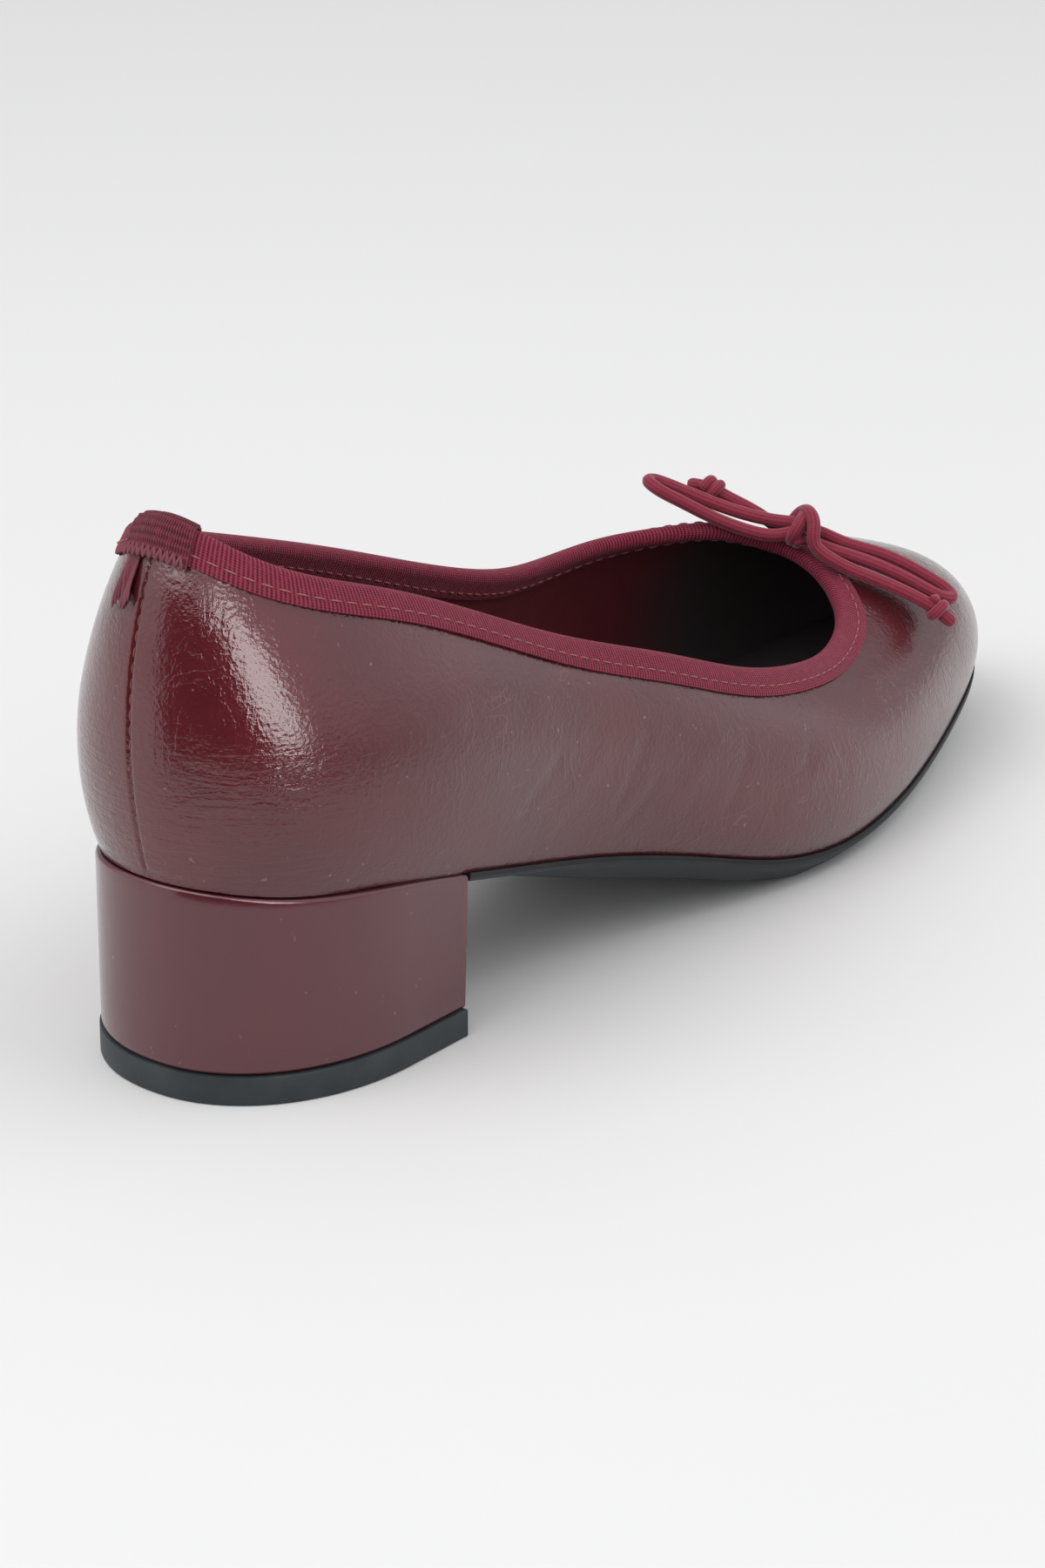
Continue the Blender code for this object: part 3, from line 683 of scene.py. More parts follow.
def leather_material():
    """Glossy oxblood leather: mottled, grained and crinkled, a little scratched, with painted shade along the
    back seam.
    """
    material, tree, shader = new_material("oxblood_leather", Specular_IOR_Level=0.5,
                                          Specular_Tint=(1.0, 0.14, 0.18, 1.0), Coat_Weight=1.0,
                                          Coat_IOR=1.62, Coat_Roughness=0.12)
    place = object_place(tree)
    axes = axes_of(tree, place)
    mottle = noise(tree, place, 32.0, 4.0, 0.6, 0.4)
    clouds = to_range(tree, noise(tree, place, 9.0), 0.35, 0.7, 0.0, 0.45)
    hair = noise(tree, scaled(tree, place, (55.0, 90.0, 260.0), (0.3, 0.9, 0.4)), 1.0)
    hair = to_range(tree, away_from(tree, hair, 0.5), 0.0, 0.012, 1.0, 0.0)
    scratch = product(tree, hair, to_range(tree, noise(tree, place, 75.0), 0.57, 0.70))
    from_seam_shade = away_from(tree, mapped_place(tree)["X"], SEAM_SHADE_PLACE)
    seam_shade = to_range(tree, from_seam_shade, *SEAM_SHADE_WIDTHS, 0.85, 0.0)
    base = mix_colours(tree, to_range(tree, mottle, 0.3, 0.72), (0.044, 0.0046, 0.0082),
                       (0.076, 0.0086, 0.0140))
    base = mix_colours(tree, clouds, base, (0.068, 0.0095, 0.0120))
    base = mix_colours(tree, product(tree, scratch, 0.16), base, (0.30, 0.14, 0.14))
    base = mix_colours(tree, specks(tree, place, 640.0, 0.45), base, (0.30, 0.14, 0.14))
    # painted shade: a near-black line in the base colour in the back seam's groove, beside the outer panel's
    # edge
    base = mix_colours(tree, seam_shade, base, (0.010, 0.002, 0.0025))

    by_the_seam = product(tree, to_range(tree, axes["X"], *WRINKLES_AHEAD, 1.0, 0.0),
                          to_range(tree, axes["Z"], *WRINKLES_UP, 1.0, 0.0))
    wrinkle = noise(tree, scaled(tree, place, (110.0, 110.0, 950.0)), 1.0, 3.0, 0.6, 0.6)
    wrinkle = product(tree, wrinkle, calculate(tree, "ADD", by_the_seam, 0.02))
    grain = noise(tree, place, 2300.0, 2.0, 0.55)
    pebbles = add_node(tree, "ShaderNodeTexVoronoi", {"Vector": place, "Scale": 1150.0}).outputs["Distance"]
    dents = noise(tree, place, 210.0, 3.0, 0.55, 0.5)
    lines = noise(tree, scaled(tree, place, (150.0, 150.0, 62.0), (0.0, 0.5, 0.0)), 1.0, 4.0, 0.6, 0.7)
    crinkle = product(tree, to_range(tree, away_from(tree, lines, 0.5), 0.0, 0.045, 1.0, 0.0),
                      to_range(tree, noise(tree, place, 42.0), 0.42, 0.62))
    normal = bumps(tree, (dents, 0.16, 0.0006), (crinkle, 0.20, 0.0002), (wrinkle, 0.30, 0.0007),
                   (pebbles, 0.16, 0.00025), (grain, 0.32, 0.00016), (scratch, 0.2, 0.0001))
    connect(shader, Base_Color=base, Roughness=to_range(tree, mottle, 0.25, 0.75, 0.50, 0.60),
            Normal=normal, Coat_Normal=normal)
    return material


def heel_leather_material():
    """The smooth covering of the heel: the same leather stretched tight, with hardly any grain."""
    material, tree, shader = new_material("heel_leather", Specular_IOR_Level=0.5,
                                          Specular_Tint=(1.0, 0.18, 0.26, 1.0), Coat_Weight=1.0,
                                          Coat_IOR=1.64, Coat_Roughness=0.17)
    place = object_place(tree)
    mottle = noise(tree, place, 45.0, 3.0, 0.6)
    base = mix_colours(tree, mottle, (0.052, 0.0062, 0.0108), (0.066, 0.0088, 0.0138))
    base = mix_colours(tree, specks(tree, place, 520.0, 0.35), base, (0.22, 0.10, 0.10))
    normal = bumps(tree, (noise(tree, place, 160.0, 3.0), 0.10, 0.0006),
                   (noise(tree, place, 2300.0), 0.14, 0.00012))
    connect(shader, Base_Color=base, Roughness=to_range(tree, mottle, 0.1, 0.9, 0.50, 0.58),
            Normal=normal, Coat_Normal=normal)
    return material


def lining_material(name, dark, light):
    """Soft lining with a fine nap: dark red leather at the back, black cloth under the vamp."""
    material, tree, shader = new_material(name, Specular_IOR_Level=0.3)
    place = object_place(tree)
    mottle = noise(tree, place, 70.0, 4.0, 0.6)
    cloth = to_range(tree, axes_of(tree, place)["X"], LINING_JOIN - LINING_BLEND, LINING_JOIN + LINING_BLEND)
    base = mix_colours(tree, cloth, mix_colours(tree, mottle, dark, light), (0.075, 0.062, 0.066))
    connect(shader, Base_Color=base, Roughness=to_range(tree, mottle, 0.2, 0.8, 0.5, 0.68),
            Normal=bumps(tree, (noise(tree, place, 1500.0, 3.0), 0.3, 0.0002)))
    return material


def grosgrain_material(name, rib, cross_rib, dark, light):
    """Ribbed ribbon: ribs of two widths, in millimetres along and across the mesh's map, with painted shade
    and highlight, and fuzz.
    """
    material, tree, shader = new_material(name, Roughness=0.78, Sheen_Weight=0.08, Sheen_Roughness=0.4,
                                          Specular_IOR_Level=0.25)
    axes = mapped_place(tree)
    weave = calculate(tree, "ADD", product(tree, wave(tree, axes["X"], rib), 0.34),
                      product(tree, wave(tree, axes["Y"], cross_rib), 0.16))
    height = calculate(tree, "ADD", weave, 0.5)
    fuzz = noise(tree, object_place(tree), 900.0, 3.0, 0.6)
    # painted shade and highlight: the hollows between the ribs take the dark colour, the crests the light one
    base = mix_colours(tree, to_range(tree, height, 0.1, 0.95), dark, light)
    base = mix_colours(tree, to_range(tree, fuzz, 0.45, 0.8, 0.0, 0.35), base, (0.36, 0.050, 0.085))
    connect(shader, Base_Color=base, Normal=bumps(tree, (height, 0.65, 0.0003), (fuzz, 0.2, 0.0001)))
    return material


def cord_material():
    """Round woven cord: a fine braid with a soft sheen, its grooves painted dark and its crests painted
    light.
    """
    material, tree, shader = new_material("bow_cord", Roughness=0.7, Sheen_Weight=0.4, Sheen_Roughness=0.4,
                                          Specular_IOR_Level=0.3)
    axes = mapped_place(tree)
    lengthwise = product(tree, axes["X"], 2.0 * math.pi / 0.62)
    around = product(tree, axes["Y"], 2.0 * math.pi * 5.0)
    strands = [calculate(tree, "SINE", calculate(tree, way, lengthwise, around))
               for way in ("ADD", "SUBTRACT")]
    braid = calculate(tree, "ADD", product(tree, product(tree, *strands), 0.5), 0.5)
    fuzz = noise(tree, object_place(tree), 1100.0, 3.0, 0.6)
    # painted shade and highlight: the braid's grooves take the dark colour, its crests the light one
    base = mix_colours(tree, to_range(tree, braid, 0.0, 0.9), (0.130, 0.009, 0.023), (0.310, 0.027, 0.060))
    base = mix_colours(tree, to_range(tree, fuzz, 0.45, 0.8, 0.0, 0.3), base, (0.34, 0.046, 0.075))
    connect(shader, Base_Color=base, Normal=bumps(tree, (braid, 0.35, 0.0002), (fuzz, 0.2, 0.0001)))
    return material


def thread_material(name, dark, light):
    """Sewing thread, with a fine broken sheen."""
    material, tree, shader = new_material(name, Roughness=0.6, Sheen_Weight=0.15)
    twist = noise(tree, object_place(tree), 2600.0)
    connect(shader, Base_Color=mix_colours(tree, twist, dark, light),
            Normal=bumps(tree, (twist, 0.4, 0.0001)))
    return material


def rubber_material(name, dark, light, roughness):
    """Moulded rubber: matt, finely pitted, a little dusty."""
    material, tree, shader = new_material(name, Specular_IOR_Level=0.4)
    place = object_place(tree)
    dust = noise(tree, place, 120.0, 4.0, 0.6)
    connect(shader, Base_Color=mix_colours(tree, to_range(tree, dust, 0.3, 0.75), dark, light),
            Roughness=to_range(tree, dust, 0.2, 0.8, roughness - 0.06, roughness + 0.06),
            Normal=bumps(tree, (noise(tree, place, 2600.0), 0.3, 0.00012)))
    return material


def floor_material():
    """A plain pale floor, hardly mottled."""
    material, tree, shader = new_material("pale_floor", Roughness=0.9, Specular_IOR_Level=0.1)
    cloud = noise(tree, object_place(tree), 3.0)
    connect(shader, Base_Color=mix_colours(tree, cloud, (0.80, 0.80, 0.80), (0.82, 0.82, 0.82)))
    return material


# Camera and light
def face(thing, place, aim):
    """Put a camera or a light at a place and turn it to another."""
    thing.location = place
    thing.rotation_euler = (Vector(aim) - Vector(place)).to_track_quat("-Z", "Y").to_euler()


def add_camera():
    """The camera, at the photo's place, turned to the middle of the shoe."""
    data = bpy.data.cameras.new("camera")
    data.sensor_fit = "VERTICAL"
    data.sensor_height = CAMERA_FILM
    data.lens = CAMERA_LENS
    camera = add_object("camera", data)
    face(camera, CAMERA_PLACE, CAMERA_AIM)
    bpy.context.scene.camera = camera


def add_area_light(light):
    """A soft rectangular light that faces a place, shown in reflections or not."""
    data = bpy.data.lights.new(light.name, "AREA")
    data.shape = "RECTANGLE"
    data.size = light.width
    data.size_y = light.height
    data.energy = light.power
    lamp = add_object(light.name, data)
    lamp.visible_glossy = light.shown
    face(lamp, light.place, light.aim)


def way_round(angle):
    """The level way at an angle, in degrees, to the right of the way back to the camera."""
    turn = math.radians(angle)
    return -LOOK * math.cos(turn) + RIGHT * math.sin(turn)


def add_card(name, points, faces, strength, far_strength=None):
    """A card of the studio that shows in reflections alone, of one strength or growing towards the toe."""
    mesh = bpy.data.meshes.new(name)
    mesh.from_pydata([tuple(map(float, point)) for point in points], [], faces)
    material = bpy.data.materials.new(name)
    material.use_nodes = True
    tree = material.node_tree
    tree.nodes.clear()
    if far_strength is not None:
        ahead = axes_of(tree, object_place(tree))["X"]
        strength = to_range(tree, ahead, *WALL_SPAN, strength, far_strength)
    glow = add_node(tree, "ShaderNodeEmission", {"Strength": strength}).outputs["Emission"]
    add_node(tree, "ShaderNodeOutputMaterial", {"Surface": glow})
    mesh.materials.append(material)
    card = add_object(name, mesh)
    card.visible_camera = False
    card.visible_diffuse = False
    card.visible_transmission = False
    card.visible_shadow = False


def add_wall(wall):
    """A curved card that stands on the floor round the heel."""
    points = []
    for share in np.linspace(0.0, 1.0, WALL_STEPS + 1):
        angle, distance, height = (first + (last - first) * share
                                   for first, last in (wall.angles, wall.distances, wall.heights))
        x, y = np.array(CARD_SPOT[:2]) + way_round(angle) * distance
        points.extend([(x, y, 0.0), (x, y, height)])
    faces = [(2 * i, 2 * i + 2, 2 * i + 3, 2 * i + 1) for i in range(WALL_STEPS)]
    add_card(wall.name, points, faces, wall.strength, wall.far_strength)


def add_bright_card():
    """The slanted bright card that makes the streak on the outer side of the counter."""
    points = []
    for row in STREAK:
        rise = math.radians(row.rise)
        for angle in (row.left, row.right):
            way = np.append(way_round(angle) * math.cos(rise), math.sin(rise))
            points.append(np.array(CARD_SPOT) + way * STREAK_DISTANCE)
    faces = [(2 * i, 2 * i + 1, 2 * i + 3, 2 * i + 2) for i in range(len(STREAK) - 1)]
    add_card("bright_card", points, faces, STREAK_STRENGTH)


def add_studio():
    """A pale room, dimmer ahead and at its walls in reflections, with three soft lights and the cards."""
    world = bpy.data.worlds.new("studio")
    bpy.context.scene.world = world
    world.use_nodes = True
    tree = world.node_tree
    tree.nodes.clear()
    ways = add_node(tree, "ShaderNodeTexCoord").outputs["Generated"]
    height = axes_of(tree, ways)["Z"]
    ahead = add_node(tree, "ShaderNodeVectorMath", {0: ways, 1: (*LOOK, 0.0)}, operation="DOT_PRODUCT")
    walls = product(tree, to_range(tree, height, -0.02, 0.15, 0.72, 1.0),
                    to_range(tree, ahead.outputs["Value"], 0.38, 0.62, 1.0, 0.42))
    seen = calculate(tree, "MAXIMUM", walls, to_range(tree, height, 0.5, 0.75, 0.0, 1.1))
    shine = add_node(tree, "ShaderNodeBackground", {"Color": ROOM_SHINE, "Strength": seen})
    fill = add_node(tree, "ShaderNodeBackground", {"Color": ROOM_FILL})
    rays = add_node(tree, "ShaderNodeLightPath").outputs["Is Glossy Ray"]
    both = add_node(tree, "ShaderNodeMixShader", {0: rays, 1: fill.outputs["Background"],
                                                  2: shine.outputs["Background"]}).outputs["Shader"]
    add_node(tree, "ShaderNodeOutputWorld", {"Surface": both})
    for light in LIGHTS:
        add_area_light(light)
    for wall in WALLS:
        add_wall(wall)
    add_bright_card()


def add_floor():
    """The pale floor that the shoe stands on."""
    mesh = bpy.data.meshes.new("floor")
    shape = bmesh.new()
    bmesh.ops.create_circle(shape, cap_ends=True, segments=96, radius=9.0)
    shape.to_mesh(mesh)
    shape.free()
    mesh.materials.append(floor_material())
    add_object("floor", mesh)


# The bow
def bow_place(along, across, up):
    """A place near the bow, given along it, across it and up, in the shoe's own stations."""
    along_step = np.array([-math.sin(BOW_TURN), math.cos(BOW_TURN), 0.0])
    across_step = np.array([math.cos(BOW_TURN), math.sin(BOW_TURN), 0.0])
    return np.array(KNOT_CENTRE) + along_step * along + across_step * across + np.array([0.0, 0.0, up])


def smooth_route(points, spacing):
    """Points read at an even spacing from a smooth curve through a route's own points."""
    points = np.array(points, float)
    chord = lengths_along(points)
    curves = [open_spline(chord, points[:, axis]) for axis in range(3)]
    fine = np.stack([curve(np.linspace(0.0, chord[-1], 1200)) for curve in curves], 1)
    length = lengths_along(fine)
    count = int(round(length[-1] / spacing)) + 1
    even = np.linspace(0.0, length[-1], count)
    return read_line(even, length, fine)


def cord_mesh(name, path, diameter, sides=18):
    """A round cord along a line, with a map of how far along and round each place is."""
    rings = tube_rings(path, round_ended(len(path), diameter / 2.0, 0.55), sides)
    around = np.arange(sides + 1) / sides
    return ring_mesh(name, rings, False, lengths_along(path), around)


def wound_path(centre, axis, coil):
    """The line of a cord wound round an axis in a flattened coil."""
    axis = unit(axis)
    side = unit(np.cross(axis, (0.0, 0.0, 1.0)))
    up = np.cross(side, axis)
    turn = np.linspace(0.0, coil.turns * 2.0 * math.pi, 72) + math.radians(coil.start)
    share = np.linspace(-0.5, 0.5, len(turn))
    steps = ((axis, share * coil.width), (side, np.cos(turn) * coil.side), (up, np.sin(turn) * coil.up))
    return centre + sum(way * length[:, None] for way, length in steps)


def add_bow(cord):
    """The tied cord at the throat: a wound knot, and two halves that each loop and run to a knotted end."""
    along = bow_place(1.0, 0.0, 0.0) - bow_place(0.0, 0.0, 0.0)
    middle = wound_path(bow_place(0.0, 0.0, -MIDDLE_COIL_DROP),
                        along + np.array([0.0, 0.0, MIDDLE_COIL_TILT]), MIDDLE_COIL)
    knot = add_piece(cord_mesh("bow_knot_cord", middle, MIDDLE_COIL.cord), [cord], ["bow_knot"])
    halves = {"inner": (INNER_LOOP + INNER_TURN + INNER_END + INNER_STUB, INNER_END, INNER_END_KNOT),
              "outer": (OUTER_LOOP + OUTER_TURN + OUTER_END + OUTER_STUB, OUTER_END, OUTER_END_KNOT)}
    for side, (route, end, end_knot) in halves.items():
        path = smooth_route([bow_place(*place) for place in route], CORD_STEP)
        run = bow_place(*end_knot) - bow_place(*end[-1])
        wound = wound_path(bow_place(*end_knot), run, END_COIL)
        tied = add_piece(cord_mesh(f"bow_tied_end_{side}", wound, END_COIL.cord), [cord],
                         [f"bow_end_knot_{side}"])
        piece = add_piece(cord_mesh(f"bow_cord_{side}", path, CORD), [cord],
                          [f"bow_loop_{side}", f"bow_end_{side}"])


# The upper
def upper_rows():
    """Row numbers round the shoe, evenly spaced but close together at the back seam, and their lengths."""
    rows, length = row_lengths(MIDDLE_RISE)
    near = np.arange(0.0, 7.0, 0.22)
    between = np.linspace(7.0, length[-1] - 7.0, UPPER_POINTS_ROUND)
    places = np.concatenate([near, between, length[-1] - near[:0:-1]])
    signed = np.where(places > length[-1] / 2.0, places - length[-1], places)
    return np.interp(places, length, rows), signed


def crease_heights(points, normals):
    """How far the creases raise or lower the leather at each point."""
    heights = np.zeros(points.shape[:2])
    for crease in CREASES:
        start = np.array([crease.from_x, crease.from_z])
        run = np.array([crease.to_x, crease.to_z]) - start
        offset = points[..., (0, 2)] - start
        share = np.clip(offset @ run / (run @ run), 0.0, 1.0)
        distance = np.linalg.norm(offset - share[..., None] * run, axis=-1)
        facing = smooth_share(normals[..., 1] * crease.side, 0.1, 0.5)
        heights += crease.depth * facing * np.exp(-(distance / crease.width) ** 2)
    return heights


def soft_waves(points):
    """The slow unevenness of leather over a last."""
    x, y, z = (points[..., axis] for axis in range(3))
    return (0.06 * np.sin(x / 15.0 + z / 8.0 + y / 21.0) * np.sin(x / 27.0 - z / 11.0 + y / 17.0)
            + 0.03 * np.sin(x / 6.5 - z / 5.0 + y / 7.0) * np.sin(x / 9.0 + z / 6.0))


def seam_heights(along, ups):
    """The lapped back seam: the outer panel's edge over the inner panel, and the groove beside it."""
    lap = np.where(along >= 0.0, LAP_HEIGHT * np.exp(-(along / LAP_REACH) ** 2), 0.0)
    groove = SEAM_GROOVE * np.exp(-((along - SEAM_GROOVE_PLACE) / SEAM_GROOVE_WIDTH) ** 2)
    fade = smooth_share(ups, 0.0, 0.05)
    return (lap - groove)[:, None] * fade[None, :]


def add_upper(leather, lining):
    """The leather shell and its lining, as one wall with creases and a lapped back seam."""
    rows, along = upper_rows()
    outer_ups = np.linspace(0.0, 1.0, UPPER_POINTS_OUTSIDE)
    inner_ups = np.linspace(1.0, 0.0, UPPER_POINTS_INSIDE)
    outside = upper_point(rows[:, None], outer_ups[None, :])
    outside_normals = upper_normal(rows[:, None], outer_ups[None, :])
    fade = smooth_share(outer_ups, 0.0, 0.08) * smooth_share(outer_ups, 1.0, 0.94)
    heights = (crease_heights(outside, outside_normals) + soft_waves(outside)) * fade[None, :]
    heights += seam_heights(along, outer_ups)
    outside = outside + outside_normals * heights[..., None]
    inside = upper_point(rows[:, None], inner_ups[None, :])
    inside = inside - upper_normal(rows[:, None], inner_ups[None, :]) * WALL
    grid = np.concatenate([outside, inside], axis=1)
    across = grid.shape[1]
    mesh = ring_mesh("upper_leather", grid, True, np.append(along, 0.0), np.arange(across + 1.0), 50.0)
    lined = np.array([polygon.vertices[0] % across for polygon in mesh.polygons]) >= len(outer_ups)
    mesh.polygons.foreach_set("material_index", lined.astype(np.int32))
    add_piece(mesh, [leather, lining], ["upper"])


def line_on_upper(depth, away):
    """A line round the shoe at a depth below the top edge: a function of places along it, and its length."""
    rows = np.linspace(0.0, len(RIBS), 1601)
    rises = rises_at_depths(rows, [depth])[:, 0]
    normals = upper_normal(rows, rises)
    points = upper_point(rows, rises) + normals * away
    length = lengths_along(points)

    def at(places, lift):
        return read_line(places, length, points) + read_line(places, length, normals) * lift[:, None]

    return at, length[-1]


def stitch_lifts(count):
    """How far the points of one stitch stand over what it is sewn to."""
    return THREAD * (0.75 * np.sin(np.linspace(0.0, math.pi, count)) ** 0.5 - 0.35)


def add_seam_stitches(thread):
    """The stitches beside the panel edge of the back seam, from the tab down."""
    rows, length = row_lengths(MIDDLE_RISE)
    row = float(np.interp(length[-1] + SEAM_GROOVE_PLACE, length, rows))
    ups = np.linspace(0.06, 0.93, 400)
    line = upper_point(np.full(ups.shape, row), ups)
    normals = upper_normal(np.full(ups.shape, row), ups)
    run = lengths_along(line)
    tubes = []
    for start in np.arange(1.0, run[-1] - SEAM_STITCH, SEAM_STITCH_PITCH):
        places = np.linspace(start, start + SEAM_STITCH, 7)
        lifts = stitch_lifts(7) - SEAM_GROOVE * 0.55
        points = read_line(places, run, line) + read_line(places, run, normals) * lifts[:, None]
        tubes.append((points, THREAD / 2.0))
    add_piece(tubes_mesh("back_seam_stitches", tubes, 7), [thread])


# The ribbon
def fold_grids(rows, clear, thickness, depths, arc_steps):
    """A ribbon folded over the top edge at many rows: its outer face, and its face on the wall."""
    rises = rises_at_depths(rows, depths)
    top = upper_point(rows, np.ones(len(rows)))
    normal = upper_normal(rows, np.ones(len(rows)))
    upward = unit(top - upper_point(rows, np.full(len(rows), 0.98)))
    centre = top - normal * (WALL * 0.5)
    turns = np.linspace(0.0, math.pi, arc_steps + 2)[1:-1]
    wall = upper_point(rows[:, None], rises)
    wall_normals = upper_normal(rows[:, None], rises)
    grids = []
    for away in (clear + thickness, clear):
        reach = WALL * 0.5 + away
        arc = (centre[:, None] + normal[:, None] * np.cos(turns)[None, :, None] * reach
               + upward[:, None] * np.sin(turns)[None, :, None] * reach)
        outer = wall + wall_normals * away
        inner = wall - wall_normals * (WALL + away)
        grids.append(np.concatenate([outer, arc, inner[:, ::-1]], axis=1))
    return grids


def ribbon_mesh(name, rows, clear, depth, depth_steps, closed, rib_height=0.0, rib=1.0):
    """A folded ribbon with thinner edges, raised in ribs that run along it."""
    depths = np.linspace(depth, 0.0, depth_steps)
    outside, inside = fold_grids(rows, clear, RIBBON, depths, 14)
    across = lengths_along(outside[len(rows) // 2])
    outward = unit(outside - inside)
    ribs = rib_height * np.sin(across * 2.0 * math.pi / rib)
    edges = np.minimum(across, across[-1] - across)
    thin = np.where(edges < 0.01, -0.22, np.where(edges < 0.5, -0.06, 0.0))
    outside = outside + outward * (ribs + thin)[None, :, None]
    grid = np.concatenate([outside, inside[:, ::-1]], axis=1)
    rise = np.concatenate([across, across[::-1], across[:1]])
    edge = upper_point(rows, np.ones(len(rows)))
    run = lengths_along(edge)
    if closed:
        run = np.append(run, run[-1] + np.linalg.norm(edge[0] - edge[-1]))
    return ring_mesh(name, grid, closed, run, rise, 60.0)


def add_binding(ribbon, thread):
    """The ribbon over the whole top edge, with its outer and inner stitch lines."""
    rows, length = row_lengths(1.0)
    places = np.linspace(0.0, length[-1], BINDING_POINTS_ROUND, endpoint=False)
    mesh = ribbon_mesh("binding_ribbon", np.interp(places, length, rows), GAP, BINDING_DEPTH, 10, True)
    add_piece(mesh, [ribbon], ["topline_binding"])
    tubes = []
    for away in (GAP + RIBBON, -(WALL + GAP + RIBBON)):
        line, total = line_on_upper(BINDING_STITCH_DEPTH, away)
        count = int(total / BINDING_STITCH_PITCH)
        for start in np.arange(count) * (total / count):
            lifts = stitch_lifts(6) * math.copysign(1.0, away)
            tubes.append((line(np.linspace(start, start + BINDING_STITCH, 6), lifts), THREAD / 2.0))
    add_piece(tubes_mesh("binding_stitches", tubes, 6), [thread])


def rows_by_edge(places):
    """Row numbers at places along the top edge, measured from the back seam to the outer side."""
    rows = np.linspace(-1.5, 1.5, 601)
    edge = upper_point(rows, 1.0)
    length = lengths_along(edge)
    return np.interp(places, length - length[300], rows)


def add_tab(ribbon, thread):
    """The ribbon tab over the binding at the back, its bar tack and its frayed end."""
    clear = GAP + RIBBON + GAP
    half = TAB_WIDTH / 2.0
    rows = rows_by_edge(np.linspace(-half, half, 40))
    mesh = ribbon_mesh("tab_ribbon", rows, clear, TAB_DEPTH, 24, False, TAB_RIB_HEIGHT, TAB_RIB)
    add_piece(mesh, [ribbon], ["heel_tab"])

    rows = rows_by_edge(np.linspace(-half + 0.5, half - 0.5, BAR_TACK_TURNS))
    corners = [point_at_depth(row, BAR_TACK_DEPTHS[turn % 2], clear + RIBBON + 0.1)
               for turn, row in enumerate(rows)]
    tubes = [(np.linspace(first, second, 5), BAR_TACK_RADIUS) for first, second in zip(corners, corners[1:])]
    add_piece(tubes_mesh("tab_bar_tack", tubes, 7), [thread])

    tubes = []
    for strand in range(TAIL_STRANDS):
        share = strand / (TAIL_STRANDS - 1) - 0.5
        drop = 1.0 - 0.07 * ((strand * 5) % 4)
        route = []
        for step, depth in enumerate(TAIL_DEPTHS):
            fan = TAIL_WIDTH * share * (0.75 + 0.16 * step)
            row = TAIL_ROW + fan / ROW_LENGTH_AT_TAIL
            away = 0.75 + 0.35 * math.cos(share * 6.0 + step)
            route.append(point_at_depth(row, TAIL_DEPTHS[0] + (depth - TAIL_DEPTHS[0]) * drop, away))
        tubes.append((smooth_route(route, 0.6), TAIL_STRAND_RADIUS))
    add_piece(tubes_mesh("tab_frayed_end", tubes, 7), [thread], ["heel_tab_tail"])


# The insole, the outsole and the heel
def plate_stations(first, last, count):
    """Stations between two ends, closer together towards both of them."""
    turn = np.linspace(0.0, math.pi, count)
    even = np.linspace(0.0, 1.0, count)
    return first + (last - first) * (0.65 * (1.0 - np.cos(turn)) / 2.0 + 0.35 * even)


def add_insole(sock):
    """The footbed: a thin board with rounded edges that follows the seat inside the upper."""
    outer_side, inner_side, ends = seat_sides(-(WALL + 0.1))
    rings = []
    for x in plate_stations(ends[0] + 0.3, ends[1] - 0.3, 110):
        share = (1.0 - np.cos(np.linspace(0.0, math.pi, 25))) / 2.0
        across = outer_side(x) + (inner_side(x) - outer_side(x)) * share
        base = seat_height(x, across)
        crown = INSOLE_THICKNESS * np.sqrt(np.clip(1.0 - np.abs(2.0 * share - 1.0) ** 24, 0.0, 1.0))
        low = np.stack([np.full(across.shape, x), across, base + 0.02], 1)
        high = np.stack([np.full(across.shape, x), across, base + 0.05 + crown], 1)
        rings.append(np.concatenate([low, high[::-1]]))
    add_piece(solid_from_rings("insole_sock", rings, 60.0), [sock], ["insole"])


def sole_depth(x):
    """How far the middle of the outsole lies below the seat: thin at the breast, full from the waist on."""
    share = smooth_share(x, HEEL_LENGTH, SOLE_DEPTH_STATION)
    return SOLE_DEPTH_AT_BREAST + (SOLE_DEPTH - SOLE_DEPTH_AT_BREAST) * share


def sole_section(x, outer, inner):
    """One section of the outsole: its flat top, a thin painted shade band at the edge, a rounded bevel and
    the tread.
    """
    bevel = min(SOLE_BEVEL, (inner - outer) * 0.3)
    floor = max(0.0, float(SEAT_LINE(x)) - float(sole_depth(x)))
    across = np.linspace(outer, inner, SOLE_POINTS_ACROSS)
    ring = [(x, y, float(seat_height(x, y)) - SOLE_SEAM) for y in across]
    shares = np.linspace(0.0, 1.0, 9)
    for side, sign in ((inner, -1.0), (outer, 1.0)):
        top = float(seat_height(x, side)) - SOLE_SEAM
        rim = [(x, side, top - SHADE_BAND_HEIGHT), (x, side + sign * SOLE_EDGE_STEP, top - SHADE_BAND_HEIGHT - 0.1)]
        for share in shares:
            y = side + sign * (SOLE_EDGE_STEP + (bevel - SOLE_EDGE_STEP) * share)
            edge = float(seat_height(x, y)) - GAP - SOLE_EDGE
            drop = math.sin(share * math.pi / 2.0) ** 1.1
            rim.append((x, y, max(0.0, edge + (floor - edge) * drop)))
        ring.extend(rim if sign < 0.0 else rim[::-1])
    return ring


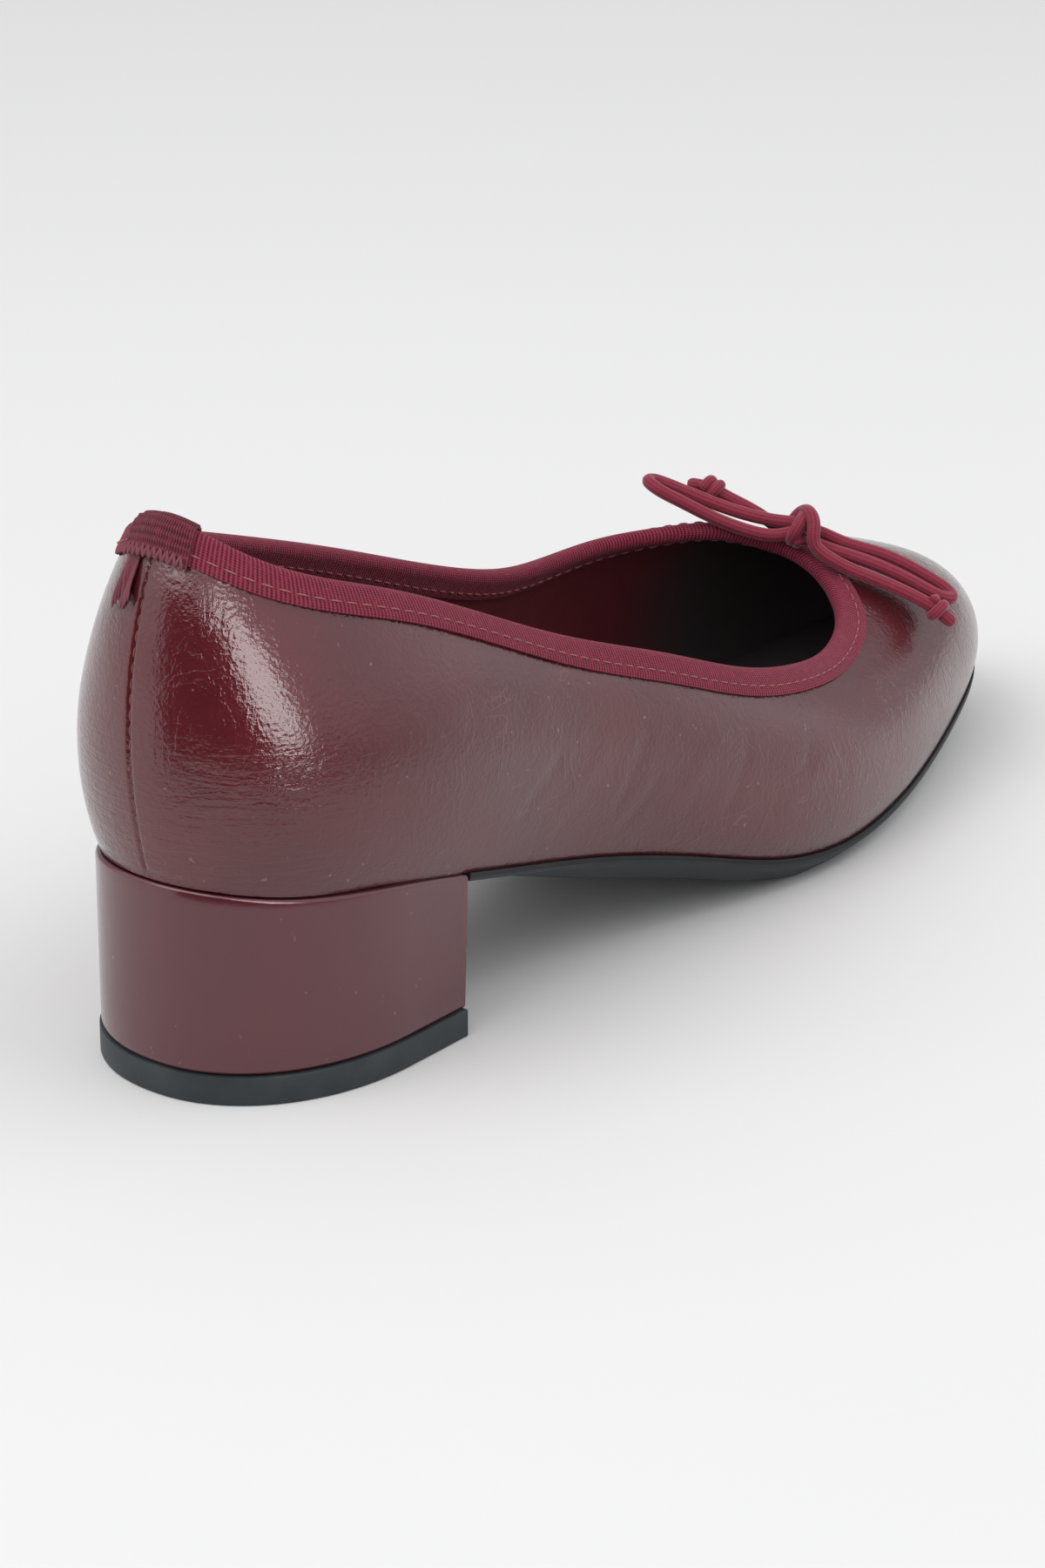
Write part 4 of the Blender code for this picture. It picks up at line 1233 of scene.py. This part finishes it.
def add_outsole(rubber, black):
    """The thin moulded outsole, with a painted shade band along its top edge and a flat tread."""
    outer_side, inner_side, ends = seat_sides(SOLE_LIP)
    rings = np.array([sole_section(x, outer_side(x), inner_side(x))
                      for x in plate_stations(HEEL_LENGTH + BREAST_LEAN + GAP, ends[1] - 0.2, 150)])
    rounds, size = rings.shape[:2]
    places = np.tile(np.arange(size), rounds - 1)
    # painted shade: the band along the top edge takes the near-black material, for the shadow in the gap
    # under the upper
    edge = (places == SOLE_POINTS_ACROSS - 1) | (places == size - 1)
    mesh = solid_from_rings("outsole_rubber", rings, 50.0)
    mesh.polygons.foreach_set("material_index", np.append(edge, [False, False]).astype(np.int32))
    add_piece(mesh, [rubber, black], ["outsole"])


def heel_half_width(x, inner, grow):
    """Half the heel's width at a station, on its inner or outer side."""
    length = INNER_ROUND if inner else OUTER_ROUND
    exponent = INNER_EXPONENT if inner else OUTER_EXPONENT
    half = HEEL_WIDTH / 2.0 + grow
    reach = np.clip((length - x) / (length + grow), 0.0, 1.0)
    return half * (1.0 - reach ** exponent) ** (1.0 / exponent)


def heel_outline(grow):
    """The heel's D outline: from its back by the outer side, the flat breast and the inner side."""
    turn = np.linspace(0.0, math.pi / 2.0, 70)
    last = HEEL_LENGTH + grow
    xs = -grow + (last + grow) * (1.0 - np.cos(turn))
    outer = np.stack([xs, -heel_half_width(xs, False, grow)], 1)
    inner = np.stack([xs, heel_half_width(xs, True, grow)], 1)
    breast = np.linspace(outer[-1], inner[-1], 26)[1:-1]
    return np.concatenate([outer, breast, inner[:0:-1]])


def inset_outline(outline, inset):
    """An outline drawn in by some millimetres."""
    run = unit(np.roll(outline, -1, 0) - np.roll(outline, 1, 0))
    return outline + np.stack([-run[:, 1], run[:, 0]], 1) * inset


def add_heel(leather, rubber):
    """The covered heel block with its rounded rim, and the rubber top piece under it."""
    outline = heel_outline(-TOP_PIECE_PROUD)
    low = TOP_PIECE_HEIGHT + GAP
    levels = []
    for share, inset, drop in HEEL_RINGS:
        ring = inset_outline(outline, inset)
        lean = BREAST_LEAN * ring[:, 0] / HEEL_LENGTH
        high = seat_height(ring[:, 0] + lean, 0.0) - GAP - drop * HEEL_RIM_ROUND
        z = low + (high - low) * share
        levels.append(np.stack([ring[:, 0] + lean * share, ring[:, 1], z], 1))
    add_piece(solid_from_rings("heel_cover", levels, 40.0), [leather], ["heel_block"])

    outline = heel_outline(0.0)
    levels = []
    for height, inset in LIFT_RINGS:
        ring = inset_outline(outline, inset)
        levels.append(np.stack([ring[:, 0], ring[:, 1], np.full(len(ring), height)], 1))
    add_piece(solid_from_rings("heel_lift", levels, 40.0), [rubber], ["heel_top_piece"])


def main():
    """Dress the shoe, and set it on its floor in front of its camera."""
    add_camera()
    add_bow(cord_material())
    add_floor()
    add_studio()
    bpy.context.scene.view_settings.view_transform = "Standard"

    ribbon_thread = thread_material("ribbon_thread", (0.20, 0.04, 0.055), (0.38, 0.12, 0.12))
    seam_thread = thread_material("seam_thread", (0.10, 0.02, 0.02), (0.26, 0.09, 0.07))
    tab_thread = thread_material("tab_thread", (0.10, 0.008, 0.02), (0.22, 0.03, 0.055))
    add_upper(leather_material(), lining_material("lining", (0.115, 0.019, 0.025), (0.180, 0.032, 0.042)))
    add_seam_stitches(seam_thread)
    # the grosgrain colours are painted shade for the rib hollows and painted highlight for the rib crests
    add_binding(grosgrain_material("binding_grosgrain", BINDING_RIB, FINE_RIB, (0.062, 0.004, 0.012),
                                   (0.345, 0.030, 0.072)), ribbon_thread)
    add_tab(grosgrain_material("tab_grosgrain", FINE_RIB, TAB_RIB, (0.030, 0.004, 0.009),
                               (0.215, 0.026, 0.050)), tab_thread)
    add_insole(lining_material("sock", (0.045, 0.008, 0.010), (0.075, 0.014, 0.017)))
    # painted shade: the near-black rubber stands for the shadow in the gap between the upper and the outsole
    add_outsole(rubber_material("sole_rubber", (0.012, 0.016, 0.019), (0.022, 0.028, 0.032), 0.48),
                rubber_material("sole_gap_shade", (0.006, 0.006, 0.007), (0.016, 0.016, 0.018), 0.6))
    add_heel(heel_leather_material(),
             rubber_material("lift_rubber", (0.020, 0.026, 0.030), (0.034, 0.042, 0.047), 0.5))


main()
